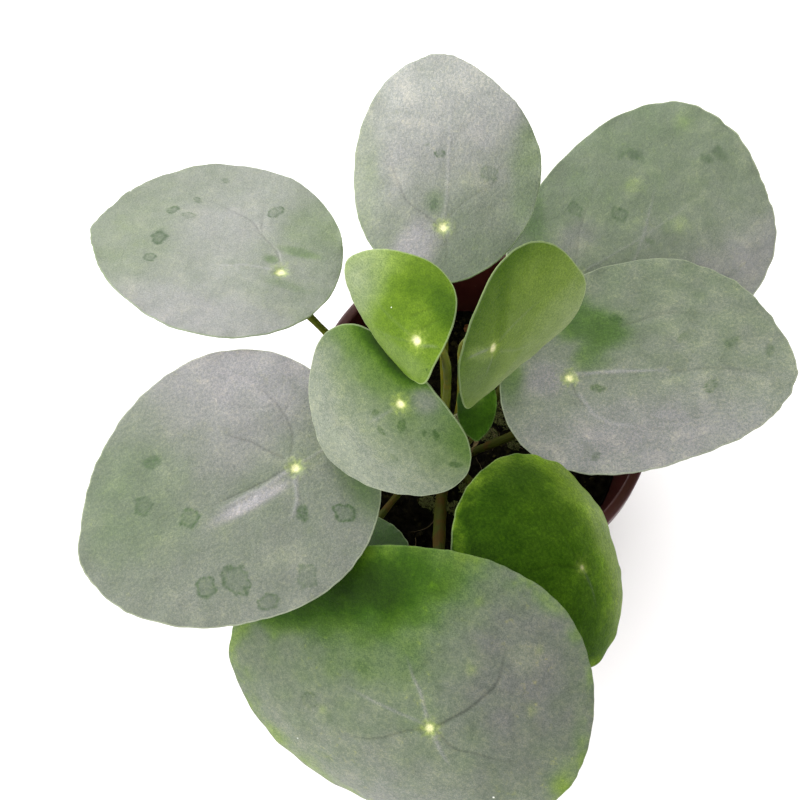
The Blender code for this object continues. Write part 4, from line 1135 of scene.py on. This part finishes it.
def build_crumbs():
    rng = np.random.default_rng(71)
    m = Nodes("soil_crumbs")
    coords = m.add("ShaderNodeTexCoord").outputs["Object"]
    tone = m.attribute("tone", "Fac")
    grain = m.noise(coords, 1500.0, 4.0, 0.65)
    color = m.mix(tone, (0.0035, 0.0028, 0.0014), (0.046, 0.038, 0.012))
    color = m.mix(m.ramp(tone, 0.85, 1.0), color, (0.150, 0.060, 0.024))
    color = m.mix(m.ramp(grain, 0.5, 0.72, 0.0, 0.6), color,
                  m.mix(1.0, color, (1.8, 1.8, 1.7), "MULTIPLY"))
    color = m.mix(m.ramp(grain, 0.5, 0.3, 0.0, 0.6), color,
                  m.mix(1.0, color, (0.45, 0.45, 0.45), "MULTIPLY"))
    bump = m.bump(grain, 0.00025, 0.9)
    mat = m.done(color, 0.92, bump, specular=0.08)
    places = []
    rim = wall_radius(SOIL_EDGE) - 0.0025
    while len(places) < 420:
        r, a = rim * math.sqrt(rng.uniform()), rng.uniform(0, 2 * math.pi)
        x, y = r * math.cos(a), r * math.sin(a)
        if math.hypot(x - STEM_X, y - STEM_Y) < 0.0065:
            continue
        size = 0.0005 + 0.0011 * rng.uniform() ** 2.2
        places.append((x, y, size, rng.uniform() ** 2 * 0.8, 0.75))
    # a few bark chips, among them the orange-brown one by the back wall
    for x, y, size, tone_value in ((-3.7, 43.0, 1.9, 1.0), (0.5, 39.5, 1.2, 0.5), (-8.5, 36.0, 1.5, 0.35),
                                   (20.0, -30.0, 1.8, 0.6), (-31.0, 22.0, 2.0, 0.9), (34.0, 12.0, 1.7, 0.8),
                                   (-24.0, -36.0, 1.4, 0.4), (12.0, 30.0, 1.6, 0.45), (-38.0, -12.0, 1.8, 0.7)):
        places.append((x * MM, y * MM, size * MM, tone_value, 0.5))
    return lumps_object("soil_crumbs", places, mat, rng, level=1)


def build_moss():
    """Loose pale-olive cushions of moss: short upright leafy threads on low mounds."""
    rng = np.random.default_rng(72)
    m = Nodes("moss_tufts")
    coords = m.add("ShaderNodeTexCoord").outputs["Object"]
    tone = m.attribute("tone", "Fac")
    # colours raised well above a real moss's so the tufts read as lit inside the shaded pot: painted light
    color = m.mix(tone, (0.030, 0.036, 0.008), (0.340, 0.370, 0.130))
    color = m.mix(m.ramp(m.noise(coords, 900.0, 3.0, 0.6), 0.45, 0.7, 0.0, 0.5), color,
                  (0.075, 0.060, 0.024))
    mat = m.done(color, 0.85, m.bump(m.noise(coords, 3000.0, 2.0), 0.00005, 0.7), specular=0.3)
    clumps = [(-14.5, -26.8, 3.4, 1.0), (-19.0, -25.0, 2.6, 0.7), (-8.8, -28.0, 2.6, 0.8),
              (-5.0, -20.5, 2.4, 0.9), (9.7, 5.6, 4.0, 0.5), (6.2, 12.5, 3.6, 0.55),
              (13.0, -2.5, 3.4, 0.45), (4.0, -1.0, 3.2, 0.5), (1.5, 7.0, 3.2, 0.5),
              (-17.0, 2.5, 3.0, 0.5), (-26.0, -6.0, 3.0, 0.5), (24.0, 20.0, 3.4, 0.6),
              (-30.0, 16.0, 3.2, 0.6), (28.0, -18.0, 3.0, 0.6), (0.0, 34.0, 2.4, 0.4)]
    verts, faces, tones = [], [], []
    for cx, cy, size, bright in clumps:
        for _ in range(int(70 * size)):
            rr = size * math.sqrt(rng.uniform()) * MM
            a = rng.uniform(0, 2 * math.pi)
            x, y = cx * MM + rr * math.cos(a), cy * MM + rr * math.sin(a)
            mound = 1.0 - (rr / (size * MM)) ** 2
            z0 = soil_height(x, y) - 0.0002
            tall = (0.0006 + 0.0013 * mound) * rng.uniform(0.7, 1.3)
            lean = rng.normal(0, 0.35, 2)
            tip = np.array([x + lean[0] * tall, y + lean[1] * tall, z0 + tall])
            root = np.array([x, y, z0])
            for s in range(4):
                f = (s + 0.6) / 4.0
                mid = root * (1 - f) + tip * f
                phi = rng.uniform(0, 2 * math.pi)
                out = np.array([math.cos(phi), math.sin(phi), rng.uniform(0.2, 0.9)])
                out /= np.linalg.norm(out)
                across = np.cross(out, (0, 0, 1.0))
                across /= np.linalg.norm(across) + 1e-9
                leng = rng.uniform(0.00035, 0.00075)
                wide = leng * 0.24
                up = np.cross(across, out) * wide * 0.5
                base = len(verts)
                verts += [mid - across * wide, mid + across * wide, mid + out * leng * 0.55 + up,
                          mid + out * leng]
                faces += [(base, base + 1, base + 2), (base + 1, base + 3, base + 2),
                          (base + 3, base, base + 2), (base + 1, base, base + 3)]
                shade = bright * (0.25 + 0.75 * f) * rng.uniform(0.6, 1.0)
                tones += [shade * 0.6, shade * 0.6, shade, shade]
    obj = mesh_object("moss", verts, faces, mat, smooth=False)
    set_float(obj, "tone", tones)
    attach(obj, "root")
    return obj


def tube_mesh(paths, sides=6):
    """One mesh of thin closed tubes: [(points, radius)]."""
    verts, faces = [], []
    for pts, radius in paths:
        pts = np.array(pts)
        tangent = np.gradient(pts, axis=0)
        tangent /= np.linalg.norm(tangent, axis=1, keepdims=True)
        a = np.cross(tangent[0], (0.1, 0.2, 0.97))
        a /= np.linalg.norm(a)
        base = len(verts)
        for i, (p, tg) in enumerate(zip(pts, tangent)):
            a = a - tg * (a @ tg)
            a /= np.linalg.norm(a)
            b = np.cross(tg, a)
            s = radius * (0.35 + 0.65 * math.sin(math.pi * (0.12 + 0.80 * i / (len(pts) - 1))))
            for j in range(sides):
                th = 2.0 * math.pi * j / sides
                verts.append(p + (a * math.cos(th) + b * math.sin(th)) * s)
        n = len(pts)
        for i in range(n - 1):
            for j in range(sides):
                k = (j + 1) % sides
                faces.append((base + i * sides + j, base + i * sides + k,
                              base + (i + 1) * sides + k, base + (i + 1) * sides + j))
        faces.append(tuple(base + j for j in range(sides - 1, -1, -1)))
        faces.append(tuple(base + (n - 1) * sides + j for j in range(sides)))
    return verts, faces


def build_fibres():
    """Root hairs and peat fibres lying on the soil."""
    rng = np.random.default_rng(73)
    m = Nodes("soil_fibres")
    coords = m.add("ShaderNodeTexCoord").outputs["Object"]
    color = m.mix(m.ramp(m.noise(coords, 300.0, 3.0), 0.35, 0.65), (0.060, 0.042, 0.020),
                  (0.150, 0.115, 0.060))
    mat = m.done(color, 0.8, m.bump(m.noise(coords, 2500.0, 2.0), 0.00003, 0.6), specular=0.3)
    starts = [(-23.1, -37.9, -55.0, 6.5, 0.22)]
    for _ in range(34):
        r, a = 45.0 * math.sqrt(rng.uniform()), rng.uniform(0, 2 * math.pi)
        starts.append((r * math.cos(a), r * math.sin(a), rng.uniform(0, 360), rng.uniform(4, 13),
                       rng.uniform(0.08, 0.20)))
    paths = []
    for x, y, heading, length, radius in starts:
        h = math.radians(heading)
        bendy = rng.uniform(-0.10, 0.10)
        pts = []
        n = 18
        for i in range(n):
            r = math.hypot(x, y) * MM
            if r > wall_radius(SOIL_EDGE) - 0.002:
                break
            pts.append((x * MM, y * MM, soil_height(x * MM, y * MM) + 0.0004))
            h += bendy + rng.normal(0, 0.12)
            x += math.cos(h) * length / n
            y += math.sin(h) * length / n
        if len(pts) > 5:
            z = np.array([p[2] for p in pts])
            z = np.convolve(np.pad(z, 2, mode="edge"), np.ones(5) / 5, "valid") + 0.0003
            paths.append(([(p[0], p[1], zz) for p, zz in zip(pts, z)], radius * MM))
    verts, faces = tube_mesh(paths)
    obj = mesh_object("soil_fibres", verts, faces, mat)
    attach(obj, "root")
    return obj


def build_stem():
    m = Nodes("corky_stem")
    coords = m.add("ShaderNodeTexCoord").outputs["Object"]
    bark = m.noise(m.vmul(coords, (1.0, 1.0, 0.45)), 900.0, 5.0, 0.7)
    scar = m.noise(m.vmul(coords, (0.25, 0.25, 1.0)), 420.0, 3.0, 0.6)
    color = m.mix(m.ramp(bark, 0.38, 0.66), (0.036, 0.024, 0.012), (0.120, 0.082, 0.043))
    color = m.mix(m.ramp(scar, 0.55, 0.70, 0.0, 0.8), color, (0.170, 0.130, 0.078))
    bump = m.bump(bark, 0.0005, 0.9)
    mat = m.done(color, 0.86, bump, specular=0.3)
    low = SOIL_MID - 0.0040
    profile = [(0.0, STEM_TOP), (STEM_R * 0.40, STEM_TOP - 0.0002), (STEM_R * 0.70, STEM_TOP - 0.0008),
               (STEM_R * 0.90, STEM_TOP - 0.0021)]
    n = 64
    for i in range(n + 1):
        z = STEM_TOP - 0.0036 - (STEM_TOP - 0.0036 - low) * i / n
        scarring = 0.06 * math.sin(z * 1150.0) + 0.03 * math.sin(z * 2750.0 + 1.0)
        profile.append((STEM_R * (0.97 + scarring), z))
    profile.append((0.0, low))

    def rough(p, a):
        q = Vector((p.x * 300.0, p.y * 300.0, p.z * 220.0))
        s = 1.0 + 0.07 * noise.noise(q) + 0.03 * noise.noise(q * 3.1)
        return Vector((p.x * s, p.y * s, p.z))

    obj = lathe_mesh("stem_body", profile, 72, mat, rough)
    obj.data.transform(Matrix.Translation((STEM_X, STEM_Y, 0.0)))
    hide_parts("stem")
    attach(obj, "root")


def build_bud():
    m = Nodes("bud_sheath")
    coords = m.add("ShaderNodeTexCoord").outputs["Object"]
    stripe = m.noise(m.vmul(coords, (1.0, 1.0, 0.15)), 1400.0, 3.0, 0.6)
    color = m.mix(m.ramp(stripe, 0.38, 0.66), (0.050, 0.062, 0.014), (0.130, 0.125, 0.042))
    z = m.add("ShaderNodeSeparateXYZ")
    m.join(coords, z.inputs[0])
    color = m.mix(m.ramp(z.outputs[2], 0.110, 0.101), color, (0.085, 0.050, 0.022))
    mat = m.done(color, 0.58, m.bump(stripe, 0.0002, 0.8))
    low = STEM_TOP - 0.0008
    keys = [(0.0, 0.0218), (0.0005, 0.0210), (0.0010, 0.0190), (0.0019, 0.0145), (0.0023, 0.0095),
            (0.0021, 0.0050), (0.0016, 0.0010), (0.0, 0.0)]
    profile = []
    for (r0, z0), (r1, z1) in zip(keys, keys[1:]):
        for i in range(6):
            s = i / 6
            profile.append((r0 + (r1 - r0) * s, low + z0 + (z1 - z0) * s))
    profile.append((0.0, low))
    profile = [profile[0]] + [p for p in profile[1:-1] if p[0] > 0] + [profile[-1]]

    def folded(p, a):
        up = (p.z - low) / 0.0218
        crease = 1.0 - 0.22 * math.exp(-((math.atan2(math.sin(a - 0.6 - 1.2 * up), math.cos(a - 0.6 - 1.2 * up))) / 0.22) ** 2)
        flat = 1.0 + 0.10 * math.cos(2 * a)
        return Vector((p.x * crease * flat, p.y * crease * flat, p.z))

    obj = lathe_mesh("bud_body", profile, 48, mat, folded)
    lean = Matrix.Rotation(math.radians(6.0), 4, "Y")
    pivot = Matrix.Translation((0.0, 0.0, low))
    obj.data.transform(Matrix.Translation((STEM_X, STEM_Y, 0.0)) @ pivot @ lean @ pivot.inverted())
    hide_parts("bud")
    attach(obj, "root")


def build_stipule(name, angle, height, node):
    """Papery triangular scale, bowed round the crown, with a torn thin tip."""
    wide, tall, thick = 0.0047, 0.0086, 0.00045
    radius = STEM_R + 0.0036
    cols, rows = 16, 24
    rng = np.random.default_rng(int(height * 1e5))
    front, back = [], []
    for k in range(rows + 1):
        s = k / rows
        half = 0.5 * wide * math.sqrt(max(0.0, 1.0 - s ** 2)) + 0.00018
        lean = 0.0016 * s * s
        for i in range(cols + 1):
            f = 2.0 * i / cols - 1.0
            a = angle + f * half / radius
            q = Vector((f * 3.0, s * 4.0, height * 900.0))
            wav = 0.00022 * noise.noise(q) * (0.3 + s)
            r = radius + lean + wav + 0.00012 * math.cos(f * 9.0)
            t = thick * (0.25 + 0.75 * (1 - s) ** 0.7) * (1.0 - 0.6 * abs(f) ** 3)
            z = height + tall * s + 0.0001 * noise.noise(q * 3.0)
            front.append((STEM_X + (r + t / 2) * math.cos(a), STEM_Y + (r + t / 2) * math.sin(a), z))
            back.append((STEM_X + (r - t / 2) * math.cos(a), STEM_Y + (r - t / 2) * math.sin(a), z))
    row = cols + 1
    off = len(front)
    faces = []
    for k in range(rows):
        for i in range(cols):
            a, b, c, d = k * row + i, k * row + i + 1, (k + 1) * row + i + 1, (k + 1) * row + i
            faces += [(a, b, c, d), (off + d, off + c, off + b, off + a)]
    ring = [i for i in range(row)] + [k * row + cols for k in range(1, rows + 1)]
    ring += [rows * row + i for i in range(cols - 1, -1, -1)] + [k * row for k in range(rows - 1, 0, -1)]
    for a, b in zip(ring, ring[1:] + ring[:1]):
        faces.append((b, a, off + a, off + b))
    m = Nodes("papery_scale_" + name)
    coords = m.add("ShaderNodeTexCoord").outputs["Object"]
    fibre = m.noise(m.vmul(coords, (1.0, 1.0, 0.12)), 2200.0, 3.0, 0.6)
    color = m.mix(m.ramp(fibre, 0.35, 0.68), (0.060, 0.040, 0.012), (0.200, 0.150, 0.055))
    color = m.mix(m.ramp(m.noise(coords, 500.0, 3.0), 0.5, 0.7, 0.0, 0.6), color, (0.100, 0.052, 0.022))
    mat = m.done(color, 0.7, m.bump(fibre, 0.00015, 0.8), specular=0.35)
    obj = mesh_object("scale_" + name, front + back, faces, mat)
    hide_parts(node)
    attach(obj, "root")


# ================================================================ build the object
for key, leaf in LEAVES.items():
    build_leaf(key, leaf, leaf_material(key, leaf))

# the green stalks' colours are darkened as painted shade, for the stalks running in shade under the blades
stalk_green_shaded = petiole_material("stalk_green_shaded", (0.030, 0.036, 0.005), (0.044, 0.028, 0.006), 0.18)
stalk_ochre = petiole_material("stalk_ochre", (0.070, 0.086, 0.007), (0.110, 0.096, 0.010), 0.14)
for key, leaf in LEAVES.items():
    ochre = key in ("young_left", "young_right", "top", "upper_left")
    build_petiole(key, leaf, PETIOLES[key], stalk_ochre if ochre else stalk_green_shaded)

build_pot()
build_soil()
build_crumbs()
build_moss()
build_fibres()
build_stem()
build_bud()
build_stipule("back", math.radians(118.0), 0.1015, "stipule_back")
build_stipule("right", math.radians(342.0), 0.0930, "stipule_right")

# ================================================================ studio
floor_mat = Nodes("floor")
spot = floor_mat.add("ShaderNodeTexCoord").outputs["Object"]
shade = floor_mat.mix(floor_mat.noise(spot, 3.0, 2.0), (0.88, 0.88, 0.88), (0.90, 0.90, 0.90))
floor_mat.done(shade, 0.9, specular=0.1)
bpy.ops.mesh.primitive_plane_add(size=6.0, location=(0.0, 0.0, 0.0))
floor = bpy.context.object
floor.name = "floor"
floor.data.materials.append(floor_mat.mat)

world = bpy.data.worlds.new("studio")
scene.world = world
world.use_nodes = True
tree = world.node_tree
sky = tree.nodes["Background"]
sky.inputs["Color"].default_value = (1.0, 0.97, 0.985, 1.0)
# Soft studio daylight: broad glowing areas, each (azimuth, elevation, tightness,
# strength), over a dim surround. The right-hand side of the room stays dark.
SOFT_LIGHTS = [
    (110.0, 22.0, 4.0, 3.7),
    (150.0, 15.0, 6.0, 2.9),
    (0.0, 90.0, 6.0, 2.1),
    (280.0, 25.0, 8.0, 2.4),
    (208.0, 8.0, 9.0, 5.0),
]
direction = tree.nodes.new("ShaderNodeTexCoord").outputs["Generated"]


def sky_math(op, x, y):
    node = tree.nodes.new("ShaderNodeMath")
    node.operation = op
    for socket, value in zip(node.inputs, (x, y)):
        if isinstance(value, bpy.types.NodeSocket):
            tree.links.new(value, socket)
        else:
            socket.default_value = value
    return node.outputs[0]


glow = 0.12
for azimuth, rise, tight, strength in SOFT_LIGHTS:
    az, el = math.radians(azimuth), math.radians(rise)
    dot = tree.nodes.new("ShaderNodeVectorMath")
    dot.operation = "DOT_PRODUCT"
    tree.links.new(direction, dot.inputs[0])
    dot.inputs[1].default_value = (math.cos(az) * math.cos(el), math.sin(az) * math.cos(el), math.sin(el))
    power = sky_math("MULTIPLY", sky_math("SUBTRACT", dot.outputs["Value"], 1.0), tight)
    lobe = sky_math("MULTIPLY", sky_math("POWER", math.e, power), strength)
    glow = sky_math("ADD", glow, lobe)
seen = tree.nodes.new("ShaderNodeLightPath").outputs["Is Camera Ray"]
plain = tree.nodes.new("ShaderNodeMix")
tree.links.new(seen, plain.inputs[0])
tree.links.new(glow, plain.inputs[2])
plain.inputs[3].default_value = 1.0
tree.links.new(plain.outputs[0], sky.inputs["Strength"])

TARGET = (-0.0285, -0.0387, 0.205)
cam = bpy.data.cameras.new("camera")
cam.lens_unit = "FOV"
cam.sensor_fit = "HORIZONTAL"
cam.angle = math.radians(22.0)
cam.clip_start = 0.01
camera = link(bpy.data.objects.new("camera", cam))
elevation = math.radians(70.0)
camera.location = Vector(TARGET) + 0.60 * Vector((0.0, -math.cos(elevation), math.sin(elevation)))
camera.rotation_euler = (math.radians(20.0), 0.0, 0.0)
scene.camera = camera
scene.view_settings.view_transform = "Standard"
